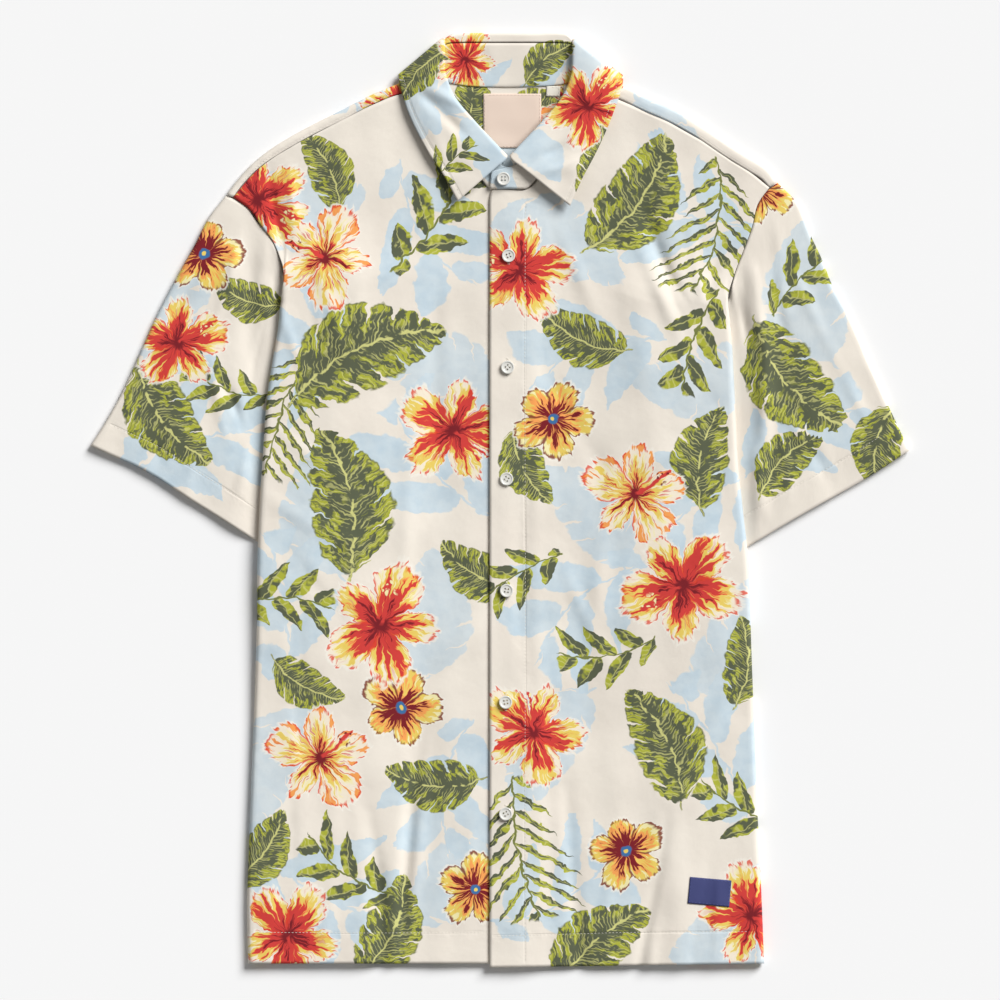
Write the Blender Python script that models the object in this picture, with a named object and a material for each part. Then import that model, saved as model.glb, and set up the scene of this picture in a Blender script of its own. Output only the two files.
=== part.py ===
"""Short-sleeved camp shirt, buttoned up and laid flat on its back with the sides turned under.

+X is the wearer's left, +Y runs towards the collar, +Z is up and the shirt rests on z = 0.
Lengths in the tables are millimetres. Every cloth piece is a middle surface, given a wall by Solidify.
A level is the height of a middle surface above the ground.
"""

import math

import bmesh
import bpy
import numpy as np
from mathutils import Vector
from mathutils.bvhtree import BVHTree

MM = 0.001

# Cloth and the way it is stacked
CLOTH = 1.2
COLLAR_CLOTH = 1.2
SEAM_GAP = 0.5
ARMHOLE_GAP = 1.3  # between a sleeve and the body
LAYER = 1.9  # from one layer's middle to the next
BACK_INSET = 2.5  # the back's side folds lie this far inside the fronts' ones
FLOOR_LEVEL = CLOTH / 2
FRONT_ROLL = 3.1  # radius of the fronts' side folds
BACK_ROLL = 1.2  # radius of the back's folds inside them
TUCK = 46.0  # how far the turned-under sides run in from their folds
STRIP_LEAST = 1.25  # the least width of a panel's outer strip of narrow columns, in lengths of its roll
SLEEVE_LIFT = 3.2  # the sides lie this much higher where they cross a sleeve
FRONT_LEVEL = 5.0  # the fronts at the middle of the body
SHOULDER_LEVEL = 5.4
NECK_RAISE = 1.8  # the yoke lies this much higher over the back of the collar
SLEEVE_LEVEL = 5.0
SLEEVE_UNDER_LEVEL = 2.2  # the sleeve's upper layer where the body lies on it
SLEEVE_ROLL = 2.0
COLLAR_STEPS = 2  # places round the collar between two rows of its table
CARRY = 60.0  # the layers stay stacked this far in from a side fold
FRONT_FALL = 90.0  # and come down to their middle level over this much more
BACK_FALL = 60.0

# Body
HEM_Y = -401.0
HEM_DROP = 3.4  # the lapping front's corner hangs this much lower
YOKE_BACK_Y = 240.0
UNDER_FRONT_EDGE = 21.0  # the two fronts' centre edges, as x
OVER_FRONT_EDGE = -9.0
NECK_CENTRE = 7.4  # x of the collar's middle
LAP_LIFT = 2.0
LAP_EASE = 28.0

SIDES = {
    "right": {
        "sign": -1,
        # (y, distance of the side fold from x = 0)
        "edge": [(-405, 218), (-372, 219.5), (-328, 218.5), (-259, 216), (-186, 213), (-109, 210.5),
                 (-34, 210), (46, 205), (76, 203), (110, 200), (147, 192.5), (170, 190), (197, 187.5),
                 (240, 187)],
        # where the fold starts, and the flat curve of the armhole from the shoulder to the underarm
        "pinch": 197.0,
        "armhole": [(237, 264), (227, 259), (218, 253), (211, 242), (201, 231), (192.5, 215), (187.5, 197),
                    (190, 180), (200, 163), (219, 152), (246, 147)],
        # the shoulder's fold, from the neck out
        "shoulder": [(60, 371), (77, 364.3), (88, 360.4), (108, 352.5), (140, 336), (166, 323), (187, 311),
                     (205, 300), (218, 287.5), (229, 275), (237, 264)],
        "yoke_strip": 9.0,
        "seam_end": (231, 262),
        "outer": [(237, 264), (253, 243), (262, 225), (282.5, 188), (300, 153.5), (315, 119), (334, 80),
                  (354.5, 47)],
        "cuff": [(354.5, 47), (337, 39), (309, 26.5), (268, 0.5), (240, -17), (210, -36)],
        "inner": [(150, 152), (160, 60), (184, -50)],
        "sleeve_zone": (-215, -64, 190, 236),
    },
    "left": {
        "sign": 1,
        "edge": [(-405, 229), (-328, 226), (-259, 222.5), (-190, 220), (-121, 217.5), (-51, 215.5),
                 (-25, 212.5), (18, 207), (61, 204.5), (104, 203), (136, 201), (173, 197.5), (200, 196),
                 (240, 196)],
        "pinch": 174.0,
        "armhole": [(240, 275), (230, 267), (223, 256), (218.5, 238), (212.5, 221), (204, 199),
                    (197.5, 174), (200, 158), (211, 142), (230, 131), (256, 126)],
        "shoulder": [(60, 378), (92, 363.8), (104, 359.3), (134, 345), (149, 339), (173, 325), (195, 309.5),
                     (217, 296), (230, 288.5), (240, 275)],
        "yoke_strip": 13.0,
        "seam_end": (233, 270.5),
        "outer": [(240, 275), (253, 265), (262, 243), (275, 218), (286, 189), (296, 171), (325, 106),
                  (354.4, 43)],
        "cuff": [(354.4, 43), (318, 19.5), (280, -2), (251, -18.5), (213.5, -41)],
        "inner": [(160, 132), (168, 50), (187, -56)],
        "sleeve_zone": (-225, -70, 168, 214),
    },
}

# The neck's cut edge on the right half: the fronts' from the yoke to the placket, the yoke's to the centre
NECK_TOP_Y = 269.0
NECK_FRONT = [(-70.5, 355.5), (-65.5, 345), (-55.5, 328.5), (-41, 308.5), (-24.5, 290), (-8, NECK_TOP_Y)]
NECK_BACK = [(-66, 365.6), (-52, 364.2), (-28, 361.8), (7.4, 361)]

# Main folds of the two fronts: from, to, half width, height above (+) or below (-) the cloth around
FOLDS = [
    {"start": (121, 268), "end": (141, 206), "width": 9, "height": -1.5},
    {"start": (141, 206), "end": (163, 146), "width": 9, "height": -1.6},
    {"start": (134, 262), "end": (166, 170), "width": 14, "height": 1.5},
    {"start": (104, 212), "end": (122, 142), "width": 13, "height": 1.2},
    {"start": (122, 142), "end": (117, 80), "width": 12, "height": 1.0},
    {"start": (-70, -150), "end": (-70, -401), "width": 12, "height": -1.4},
    {"start": (-107, -310), "end": (-107, -401), "width": 9, "height": -1.0},
    {"start": (-88, -230), "end": (-89, -401), "width": 13, "height": 1.5},
    {"start": (128, -310), "end": (129, -401), "width": 11, "height": -1.3},
    {"start": (150, -250), "end": (152, -401), "width": 15, "height": 1.3},
    {"start": (-150, 250), "end": (-128, 160), "width": 13, "height": 1.2},
    {"start": (-60, 60), "end": (-110, -60), "width": 22, "height": 0.9},
    {"start": (70, -20), "end": (120, -140), "width": 24, "height": 0.9},
]

# The collar, from the centre back round to its right point. Each row is a place round the neck: n is the
# neck seam, r the middle of the roll and e the outer edge, with their levels. tilt is the way the fall lies
# from the stand (-90 below it, 0 beside it, 90 above it) and roll its radius. The left half is the mirror
# of it, but for lift, how much higher it lies where it laps, and shift, how much further out its edge is.
COLLAR = [
    {"n": (7.4, 358.5, 4.1), "r": (7.4, 402.2, 3.4), "e": (7.4, 352, 0.7),
     "tilt": -90, "roll": 1.5, "lift": 0, "shift": (0, 0)},
    {"n": (-25.5, 359.5, 4.1), "r": (-25.5, 402.2, 3.4), "e": (-27, 352, 0.7),
     "tilt": -90, "roll": 1.5, "lift": 0, "shift": (0, 0)},
    {"n": (-52.1, 363.5, 4.1), "r": (-41.5, 401.5, 3.5), "e": (-55.8, 354.5, 0.7),
     "tilt": -88, "roll": 1.5, "lift": 0, "shift": (0, 0)},
    {"n": (-71.2, 368.9, 3.9), "r": (-48.7, 397.2, 3.4), "e": (-80.1, 364.8, 0.8),
     "tilt": -58, "roll": 2.0, "lift": 0, "shift": (2, 0)},
    {"n": (-73.1, 369.7, 6.2), "r": (-50.6, 396.8, 7.0), "e": (-88.2, 367.5, 4.7),
     "tilt": -3.4, "roll": 1.9, "lift": 0, "shift": (3, 0)},
    {"n": (-73.7, 369.2, 8.1), "r": (-49.4, 394.4, 10.5), "e": (-87.7, 364.1, 7.3),
     "tilt": 55.7, "roll": 2.2, "lift": 0, "shift": (4, 0)},
    {"n": (-67, 348, 7.5), "r": (-48.6, 372, 10.7), "e": (-80, 337, 10.2),
     "tilt": 88, "roll": 1.5, "lift": 0, "shift": (4, 0)},
    {"n": (-57.4, 327.5, 7.1), "r": (-41, 349.5, 10.2), "e": (-71.4, 318, 10.4),
     "tilt": 90, "roll": 1.5, "lift": 0, "shift": (5, 0)},
    {"n": (-42.7, 307, 7.2), "r": (-27.5, 332, 9.9), "e": (-61, 299, 10.5),
     "tilt": 90, "roll": 1.5, "lift": 0.7, "shift": (6, -1)},
    {"n": (-26.2, 288.8, 7.4), "r": (-11, 313.5, 10.2), "e": (-48.5, 280.5, 10.5),
     "tilt": 90, "roll": 1.9, "lift": 1.5, "shift": (8, -2)},
    {"n": (-5.8, 270.3, 7.6), "r": (5.6, 295.5, 10.7), "e": (-36.8, 258.5, 10.8),
     "tilt": 90, "roll": 2.3, "lift": 2.3, "shift": (9, -4)},
]
# The stand alone runs on past the collar's points to its two lapped ends
STAND_UNDER_END = {"n": (18.5, 270.3, 7.0), "top": (19.5, 286, 7.6)}
STAND_OVER_END = {"n": (-8.8, 270.3, 9.6), "top": (-7.5, 284.5, 10.4)}
STAND_GAP = 0.8  # between the stand and the fall
STAND_SIDE_GAP = 4.4  # and where the collar turns over at its sides
STAND_SHORT = 7.0  # the stand ends this far below the roll, where the fall is sewn on
FALL_CROWN = 1.6

# Buttons and labels
BUTTON_RADIUS = 5.7
BUTTON_HEIGHT = 2.2
BUTTON_RIM = 0.5
BUTTON_HOLE = 0.75
BUTTON_HOLE_OFF = 1.35
BUTTON_SIDES = 16
BUTTON_X = [7.4, 6.6, 5.7, 5.7, 4.9, 4.9]
BUTTON_TOP_Y = 211.5
BUTTON_PITCH = 96.6
COLLAR_BUTTON = (3.0, 278.0)
LABEL_GAP = 0.35
LABEL_CLOTH = 1.0
LABELS = [
    {"name": "neck_label", "on": "yoke", "centre": (10.6, 328), "size": (50, 47), "turn": 0, "round": 12,
     "color": (0.83, 0.77, 0.66)},
    {"name": "size_tab_1", "on": "yoke", "centre": (46, 353.5), "size": (12, 9), "turn": -2, "round": 0,
     "color": (0.85, 0.80, 0.70)},
    {"name": "size_tab_2", "on": "yoke", "centre": (59, 355), "size": (8, 7), "turn": -4, "round": 0,
     "color": (0.85, 0.80, 0.70)},
    {"name": "hem_label", "on": "front_left", "centre": (181.3, -339), "size": (36, 23), "turn": -5,
     "round": 0, "color": (0.09, 0.12, 0.32)},
]

PRINT_CREAM = (0.84, 0.78, 0.66)
PRINT_BLUE = (0.60, 0.71, 0.79)
BUTTON_WHITE = (0.88, 0.87, 0.83)


def smoothstep(t):
    t = min(max(t, 0.0), 1.0)
    return t * t * (3 - 2 * t)


def mix(a, b, t):
    return a + (b - a) * t


def curve_through(points):
    """A smooth curve through the points, as a function of 0..1 along it."""
    p = np.array(points, float)
    spans = np.maximum(np.linalg.norm(np.diff(p, axis=0), axis=1), 1e-6)
    knots = np.concatenate([[0.0], np.cumsum(spans)]) / spans.sum()
    slopes = np.gradient(p, knots, axis=0)

    def at(t):
        t = min(max(t, 0.0), 1.0)
        i = min(int(np.searchsorted(knots, t, side="right")) - 1, len(p) - 2)
        h = knots[i + 1] - knots[i]
        s = (t - knots[i]) / h
        return (
            (2 * s**3 - 3 * s**2 + 1) * p[i]
            + (s**3 - 2 * s**2 + s) * h * slopes[i]
            + (3 * s**2 - 2 * s**3) * p[i + 1]
            + (s**3 - s**2) * h * slopes[i + 1]
        )

    return at


def read_off(table, value):
    """The second column of a table at a value of its first."""
    columns = np.array(sorted(table), float).T
    return float(np.interp(value, columns[0], columns[1]))


def material(name, color, roughness):
    made = bpy.data.materials.new(name)
    made.use_nodes = True
    shader = made.node_tree.nodes["Principled BSDF"]
    shader.inputs["Base Color"].default_value = (*color, 1.0)
    shader.inputs["Roughness"].default_value = roughness
    shader.inputs["Metallic"].default_value = 0.0
    return made


def add_object(name, mesh, color, roughness=0.85):
    piece = bpy.data.objects.new(name, mesh)
    bpy.context.scene.collection.objects.link(piece)
    mesh.materials.append(material(name, color, roughness))
    return piece


def cloth_from_grid(name, rows, color, closed=False, wall=CLOTH):
    """A wall of cloth round a middle surface, given as rows of points in millimetres."""
    across = len(rows[0])
    shape = bmesh.new()
    bmesh.ops.create_grid(shape, x_segments=across - 1, y_segments=len(rows) - 1, size=1)
    shape.verts.ensure_lookup_table()
    for j, row in enumerate(rows):
        for i, point in enumerate(row):
            shape.verts[j * across + i].co = Vector([float(c) * MM for c in point])
    if closed:
        bmesh.ops.remove_doubles(shape, verts=shape.verts, dist=1e-6)
    mesh = bpy.data.meshes.new(name)
    shape.to_mesh(mesh)
    shape.free()
    piece = add_object(name, mesh, color)
    solid = piece.modifiers.new("Wall", "SOLIDIFY")
    solid.thickness = wall * MM
    solid.offset = 0
    mesh.shade_smooth()
    return piece


# Levels of the body


def side_of(x):
    return SIDES["left"] if x > 0 else SIDES["right"]


def sleeve_lift(side, y):
    """1 where the side crosses the sleeve, easing to 0 above and below."""
    low, low_full, high_full, high = side["sleeve_zone"]
    return smoothstep((y - low) / (low_full - low)) * smoothstep((high - y) / (high - high_full))


def under_level(side, y):
    return FLOOR_LEVEL + SLEEVE_LIFT * sleeve_lift(side, y)


def above_pinch(side, y):
    """0 where the sides are turned under, 1 at the shoulder."""
    low, high = side["sleeve_zone"][2:]
    return smoothstep((y - low) / (high - low + 12))


def edge_in(side, y):
    """The side fold's distance from x = 0."""
    return read_off(side["edge"], y)


def folds_at(x, y):
    total = 0.0
    for fold in FOLDS:
        start, end = np.array(fold["start"], float), np.array(fold["end"], float)
        run = end - start
        along = float(np.clip((np.array((x, y)) - start) @ run / (run @ run), 0, 1))
        off = np.hypot(*(np.array((x, y)) - start - along * run))
        taper = math.sin(math.pi * mix(0.12, 0.88, along))
        total += fold["height"] * taper * math.exp(-((off / fold["width"]) ** 2))
    return total


def front_level(x, y):
    """The fronts' middle surface over the body, without the lap of the placket."""
    side = side_of(x)
    inside = edge_in(side, y) - abs(x)
    top = mix(under_level(side, y) + 2 * FRONT_ROLL, SHOULDER_LEVEL, above_pinch(side, y))
    eased = smoothstep((inside - CARRY) / FRONT_FALL)
    calm = smoothstep((inside - 16) / 30)
    fold = folds_at(x, y)
    return mix(top, FRONT_LEVEL, eased) + calm * (fold if fold > 0 else fold * mix(0.25, 1.0, eased))


def lap_lift(x):
    """The lapping front lies on the other one, and comes down beside it."""
    return LAP_LIFT * (1 - smoothstep((x - UNDER_FRONT_EDGE - 2) / LAP_EASE))


def back_level(x, y):
    side = side_of(x)
    inside = edge_in(side, y) - abs(x)
    top = mix(under_level(side, y) + LAYER + 2 * BACK_ROLL, FLOOR_LEVEL, above_pinch(side, y))
    return mix(top, FLOOR_LEVEL, smoothstep((inside - CARRY) / BACK_FALL))


def fold_start(side, y):
    """Where a side fold's roll begins, as a distance from x = 0."""
    return edge_in(side, y) - FRONT_ROLL - CLOTH / 2


def turned_under(start, beyond, roll, level):
    """(distance from x = 0, level) of a point a length of cloth beyond a fold's start.
    The level is that of the turned-under cloth."""
    if beyond >= math.pi * roll:
        return start - (beyond - math.pi * roll), level
    angle = beyond / roll
    return start + roll * math.sin(angle), level + roll + roll * math.cos(angle)


def turned_part(side, y):
    """1 where a side is turned under, easing to 0 at the pinch of the armhole."""
    return 1 - smoothstep((y - side["pinch"] + 10) / 20)


def strip_marks(roll, steps, width):
    """Where a side strip's columns lie: round its roll, then out to the seam."""
    on_roll = math.pi * roll
    if width < STRIP_LEAST * on_roll * 1.01:
        return [width * k / (steps + 2) for k in range(steps + 3)]
    return [on_roll * k / steps for k in range(steps + 1)] + [mix(on_roll, width, 0.5), width]


# Panels of the body

SEAM_ROWS = [HEM_Y, -350, -300, -255, -220, -190, -160, -130, -97, -60, -10, 38, 85]
ARMHOLE_ROWS = 15
ROLL_REACH = 1.4  # the rows are close together this far round a fold, in lengths of its roll
ROLL_WEIGHT = 2.2
UNDERARM_PART = 0.6  # of the way up a panel
NECK_PART = 0.78


def armhole_places(armhole_at, start_at, on_roll):
    """Places along an armhole, closer together where its edge runs round the side fold."""
    fine = np.linspace(0, 1, 201)
    points = np.array([armhole_at(t) for t in fine])
    beyond = points[:, 0] - np.array([start_at(y) for y in points[:, 1]])
    near = (beyond > -2) & (beyond < on_roll * ROLL_REACH)
    steps = np.linalg.norm(np.diff(points, axis=0), axis=1) * np.where(near[1:], ROLL_WEIGHT, 1.0)
    travel = np.concatenate([[0.0], np.cumsum(steps)])
    return np.interp(np.linspace(0, travel[-1], ARMHOLE_ROWS), travel, fine).tolist()


def body_rows(side, roll, roll_steps, inset, columns, level_of, under, centre_of, seam_top):
    """Rows of a front or of half a back, each from its side to its centre, from the hem up.

    The cloth is first laid out flat, as distances from x = 0 towards its own side, with its side seam and
    armhole beyond the side fold. The fold then turns that strip under. seam_top is the flat top seam, from
    the armhole to the centre."""
    underarm_y = side["armhole"][-1][1]
    tuck = TUCK - inset
    underarm = (fold_start(side, underarm_y) - inset + math.pi * roll + tuck, underarm_y)
    lower_armhole = [
        (min(x, fold_start(side, y) - inset) if inset and -20 < y - side["pinch"] < 12 else x, y)
        for x, y in side["armhole"][:-1]
        if y < seam_top[0][1] - 4
    ]
    armhole_at = curve_through([underarm] + lower_armhole[::-1] + [seam_top[0]])
    seam = []
    for y in SEAM_ROWS:
        reach = fold_start(side, y) - inset + math.pi * roll + tuck
        part = UNDERARM_PART * (y - HEM_Y) / (underarm_y - HEM_Y)
        seam.append((reach, y, part))
    for t in armhole_places(armhole_at, lambda y: fold_start(side, y) - inset, math.pi * roll):
        seam.append((*armhole_at(t).tolist(), mix(UNDERARM_PART, 1.0, t)))
    top_x, top_y = np.array(seam_top[::-1], float).T

    def flat_row(seam_x, seam_y, part):
        """One row laid flat: its fold's start, then its points."""
        start = fold_start(side, seam_y) - inset
        strip = max(seam_x - start, STRIP_LEAST * math.pi * roll)
        centre = centre_of(part)
        marks = reversed(strip_marks(roll, roll_steps, strip))
        points = [(seam_x - strip + mark, seam_y) for mark in marks]
        inner = points[-1]
        points += [mix_points(inner, centre, k / columns) for k in range(1, columns + 1)]
        return start, points

    top_row = flat_row(*seam[-1])[1]
    bow = [float(np.interp(x, top_x, top_y)) - y for x, y in top_row]
    rows = []
    for seam_x, seam_y, part in seam:
        start, points = flat_row(seam_x, seam_y, part)
        bend = smoothstep((part - 0.66) / 0.34)
        turned = turned_part(side, seam_y)
        row = []
        for (x, y), rise in zip(points, bow):
            y += bend * rise
            out, z = x, level_of(side["sign"] * x, y)
            if x > start and turned > 0:
                round_out, round_z = turned_under(start, x - start, roll, under(side, seam_y))
                out, z = mix(out, round_out, turned), mix(z, round_z, turned)
            row.append((side["sign"] * out, y, z))
        rows.append(row)
    return rows


def centre_y(side, part, top_part, top_y):
    """A row's height at the centre: level with its side up to the underarm, then on to the top."""
    underarm_y = side["armhole"][-1][1]
    if part <= UNDERARM_PART:
        return mix(HEM_Y, underarm_y, part / UNDERARM_PART)
    return mix(underarm_y, top_y, (part - UNDERARM_PART) / (top_part - UNDERARM_PART))


def mix_points(a, b, t):
    return tuple(mix(p, q, t) for p, q in zip(a, b))


def shoulder_y(side, out):
    return read_off(side["shoulder"], out)


def mirrored(point):
    """A point of the right half of the neck, on the left half."""
    return (2 * NECK_CENTRE - point[0], *point[1:])


def front(name, side, centre_x, lift):
    sign = side["sign"]
    neck = NECK_FRONT if sign < 0 else [mirrored(p) for p in NECK_FRONT]
    neck = [(sign * x, y) for x, y in neck]
    strip = side["yoke_strip"] + SEAM_GAP
    seam_top = [(side["seam_end"][0] - SEAM_GAP / 2, side["seam_end"][1] - SEAM_GAP)]
    seam_top += [(x, shoulder_y(side, x) - strip) for x in (218, 200, 175, 145, 115, 95)]
    seam_top.append((neck[0][0], min(neck[0][1], shoulder_y(side, neck[0][0]) - strip)))
    corner = (sign * centre_x, NECK_TOP_Y)
    neck_at = curve_through([corner, mix_points(corner, neck[-1], 0.5)] + neck[::-1])

    def centre_of(part):
        if part >= NECK_PART:
            return neck_at((part - NECK_PART) / (1 - NECK_PART))
        drop = HEM_DROP * lift * (1 - smoothstep(part / 0.25))
        return corner[0], centre_y(side, part, NECK_PART, NECK_TOP_Y) - drop

    def level(x, y):
        return front_level(x, y) + lift * lap_lift(x)

    rows = body_rows(side, FRONT_ROLL, 4, 0, 17, level, under_level, centre_of, seam_top)
    return cloth_from_grid(name, rows if sign < 0 else [row[::-1] for row in rows], PRINT_CREAM)


def back():
    halves = []
    for side in (SIDES["right"], SIDES["left"]):
        end = (armhole_x(side, YOKE_BACK_Y - SEAM_GAP), YOKE_BACK_Y - SEAM_GAP)
        seam_top = [end, (150, end[1]), (75, end[1]), (0, end[1])]

        def centre_of(part, side=side):
            return 0.0, centre_y(side, part, 1.0, YOKE_BACK_Y - SEAM_GAP)

        def under(side, y):
            return under_level(side, y) + LAYER

        halves.append(body_rows(side, BACK_ROLL, 3, BACK_INSET, 8, back_level, under, centre_of, seam_top))
    rows = [right + left[::-1][1:] for right, left in zip(*halves)]
    return cloth_from_grid("back", rows, PRINT_CREAM)


def armhole_x(side, y):
    """The armhole's distance from x = 0 at a height between the fold's start and the shoulder."""
    return read_off([(p[1], p[0]) for p in side["armhole"] if p[1] >= side["pinch"]], y)


def yoke_level(x, y):
    near = smoothstep((y - 316) / 26) * smoothstep((122 - abs(x - NECK_CENTRE)) / 26)
    return FLOOR_LEVEL + NECK_RAISE * near


def yoke():
    """Columns from the front seam over the shoulder to the back seam, across the back."""
    run = 6

    def shoulder_column(side, out, q, cut):
        """cut is how much of the strip and its roll the neck's edge cuts off, from 0 to 1."""
        sign = side["sign"]
        tip = np.array(side["shoulder"][-1] if q == 0 else (out, shoulder_y(side, out)), float)
        slope = (shoulder_y(side, out - 5) - shoulder_y(side, out + 5)) / 10
        normal = np.array((slope, 1.0)) if q > 0 else tip - np.array(side["armhole"][1], float)
        normal = normal / np.hypot(*normal)
        low = yoke_level(sign * out, tip[1] - 6)
        roll = (SHOULDER_LEVEL - low) / 2
        crest = tip - normal * (roll + CLOTH / 2)
        seam = np.array(side["seam_end"], float)
        if q > 0:
            seam[0] = out - normal[0] * normal[1] * side["yoke_strip"]
            seam[1] = shoulder_y(side, seam[0]) - side["yoke_strip"]
        strip = float(np.hypot(*(crest - seam)))
        total = strip + math.pi * roll
        marks = [0, strip * 0.6] + [strip + math.pi * roll * k / 4 for k in range(5)]
        if cut:
            marks = [mix(total * cut, total + 3, k / 6) for k in range(7)]
        points = []
        for mark in marks:
            angle = min(max(mark - strip, 0) / roll, math.pi)
            place = mix(seam, crest, min(mark / strip, 1)) + normal * roll * math.sin(angle)
            place = place - normal * max(mark - total, 0)
            points.append((*place, low + roll + roll * math.cos(angle)))
        last = np.array(points[-1][:2])
        armhole_end = np.array((armhole_x(side, YOKE_BACK_Y), YOKE_BACK_Y))
        end = np.array((mix(armhole_end[0], NECK_CENTRE * sign, q), YOKE_BACK_Y))
        for k in range(1, run + 1):
            t = k / run
            bow = np.array((armhole_x(side, mix(side["armhole"][0][1], YOKE_BACK_Y, t)), 0.0))
            bow[0] -= mix(side["armhole"][0][0], armhole_end[0], t)
            place = mix(last, end, t) + bow * max(1 - q / 0.25, 0)
            points.append((*place, yoke_level(sign * place[0], place[1])))
        return [(sign * x, y, z) for x, y, z in points]

    def neck_column(x, y, end):
        points = []
        for k in range(7 + run):
            t = (k / 6) * 0.09 if k < 7 else mix(0.09, 1.0, (k - 6) / run)
            at_y = mix(y, YOKE_BACK_Y, t)
            at_x = mix(x, end, t)
            points.append((at_x, at_y, yoke_level(at_x, at_y)))
        return points

    columns = []
    outs = {
        "right": (237, 227, 214, 195, 168, 138, 112, 93, 77, 76.4, 75.4, 74, 71.5),
        "left": (240, 232, 218, 198, 174, 150, 128, 108, 92, 91, 89.8, 88, 85.5),
    }
    cuts = (0, 0, 0, 0, 0, 0, 0, 0, 0, 0.25, 0.5, 0.75, 1.0)
    for key in ("right", "left"):
        side = SIDES[key]
        group = []
        for out, cut in zip(outs[key], cuts):
            q = (outs[key][0] - out) / (outs[key][0] - side["sign"] * NECK_CENTRE)
            group.append(shoulder_column(side, out, q, cut))
        for x, y in NECK_BACK[:-1]:
            x = x if key == "right" else 2 * NECK_CENTRE - x
            q = (outs[key][0] - side["sign"] * x) / (outs[key][0] - side["sign"] * NECK_CENTRE)
            end = side["sign"] * mix(armhole_x(side, YOKE_BACK_Y), NECK_CENTRE * side["sign"], q)
            group.append(neck_column(x, y, end))
        columns += group if key == "right" else group[::-1]
        if key == "right":
            columns.append(neck_column(*NECK_BACK[-1], NECK_CENTRE))
    rows = [[column[k] for column in columns] for k in range(len(columns[0]))]
    return cloth_from_grid("yoke", rows[::-1], PRINT_BLUE)


# Sleeves


def sleeve(name, side):
    """Rings round a flattened tube, from the armhole to the cuff. Its inner part lies under the body."""
    sign = side["sign"]
    stations = 10
    gap = ARMHOLE_GAP
    visible = np.array([p for p in side["armhole"] if p[1] >= side["pinch"] - 1], float)
    along = np.gradient(visible, axis=0)
    along = along / np.linalg.norm(along, axis=1)[:, None]
    visible = visible + gap * np.column_stack([-along[:, 1], along[:, 0]])
    armhole_at = curve_through(visible)
    outer_at = curve_through(side["outer"])
    cuff_at = curve_through(side["cuff"])
    inner_at = curve_through(side["inner"])
    pinch = visible[-1]
    cuff_in = side["cuff"][-1]

    def edge_at(s):
        y = mix(pinch[1] - 2, cuff_in[1], s)
        return np.array((fold_clear(side, y), y))

    def plan(a, s):
        """a runs from the outer fold to the body's edge, s from the armhole to the cuff."""
        straight = mix(outer_at(s), edge_at(s), a)
        first = armhole_at(a) - mix(outer_at(0), edge_at(0), a)
        last = cuff_at(a) - mix(outer_at(1), edge_at(1), a)
        return straight + (1 - s) * first + s * last

    def top_level(point, s):
        x, y = point
        clear = smoothstep((x - fold_clear(side, y)) / 20)
        clear = max(clear, smoothstep((y - side["pinch"] + 2) / 22))
        seam_level = min(front_level(sign * (x - gap), y), 9)
        level = mix(seam_level, SLEEVE_LEVEL, smoothstep(s / 0.45))
        return mix(SLEEVE_UNDER_LEVEL, level, clear)

    rows = []
    for j in range(stations + 1):
        s = j / stations
        low = FLOOR_LEVEL
        crest_a = (SLEEVE_ROLL + CLOTH / 2) / np.hypot(*(outer_at(s) - edge_at(s)))
        crest = plan(crest_a, s)
        outward = plan(0, s) - crest
        outward = outward / np.hypot(*outward)
        ring = []
        for k in range(9):
            point = plan(mix(crest_a, 1, k / 8), s)
            ring.append((*point, top_level(point, s)))
        roll = (ring[0][2] - low) / 2
        edge, inner = edge_at(s), inner_at(s)
        for b in (0.33, 0.66, 1.0):
            ring.append((*mix(edge, inner, b), SLEEVE_UNDER_LEVEL))
        half = (SLEEVE_UNDER_LEVEL - low) / 2
        inward = (inner - edge) / np.hypot(*(inner - edge))
        for angle in (60, 120):
            turn = math.radians(angle)
            ring.append((*(inner + inward * half * math.sin(turn)), low + half + half * math.cos(turn)))
        for b in (1.0, 0.5):
            ring.append((*mix(edge, inner, b), low))
        for k in range(6):
            ring.append((*plan(mix(1, crest_a, k / 5), s), low))
        for angle in (135, 90, 45):
            turn = math.radians(angle)
            place = crest + outward * SLEEVE_ROLL * math.sin(turn)
            ring.append((*place, low + roll + roll * math.cos(turn)))
        ring.append(ring[0])
        if sign > 0:
            ring = ring[::-1]
        rows.append([(sign * x, y, z) for x, y, z in ring])
    return cloth_from_grid(name, rows, PRINT_CREAM, closed=True)


def fold_clear(side, y):
    """Just outside the body's side fold."""
    return edge_in(side, y) + 1.5


# Collar


def collar_stations():
    """Places round the neck from the right front end, round the back, to the left one.
    Each holds n, r, e, outward (from the stand to the fall) and roll."""
    stations = []
    side_way = np.array((-0.76, 0.65, 0.0))
    for half in ("right", "left"):
        rows = COLLAR[::-1] if half == "right" else COLLAR[1:]
        for row in rows:
            n, r, e = (np.array(row[key], float) for key in ("n", "r", "e"))
            tilt = math.radians(row["tilt"])
            outward = side_way * math.cos(tilt) + np.array((0, 0, math.sin(tilt)))
            if half == "left":
                e = e - np.array((*row["shift"], 0.0)) * np.array((1, -1, 0))
                n, r, e = (np.array(mirrored(p)) + np.array((0, 0, row["lift"])) for p in (n, r, e))
                outward = outward * np.array((-1, 1, 1))
            stations.append({"n": n, "r": r, "e": e, "outward": outward, "roll": np.array((row["roll"],))})
    return stations


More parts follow.
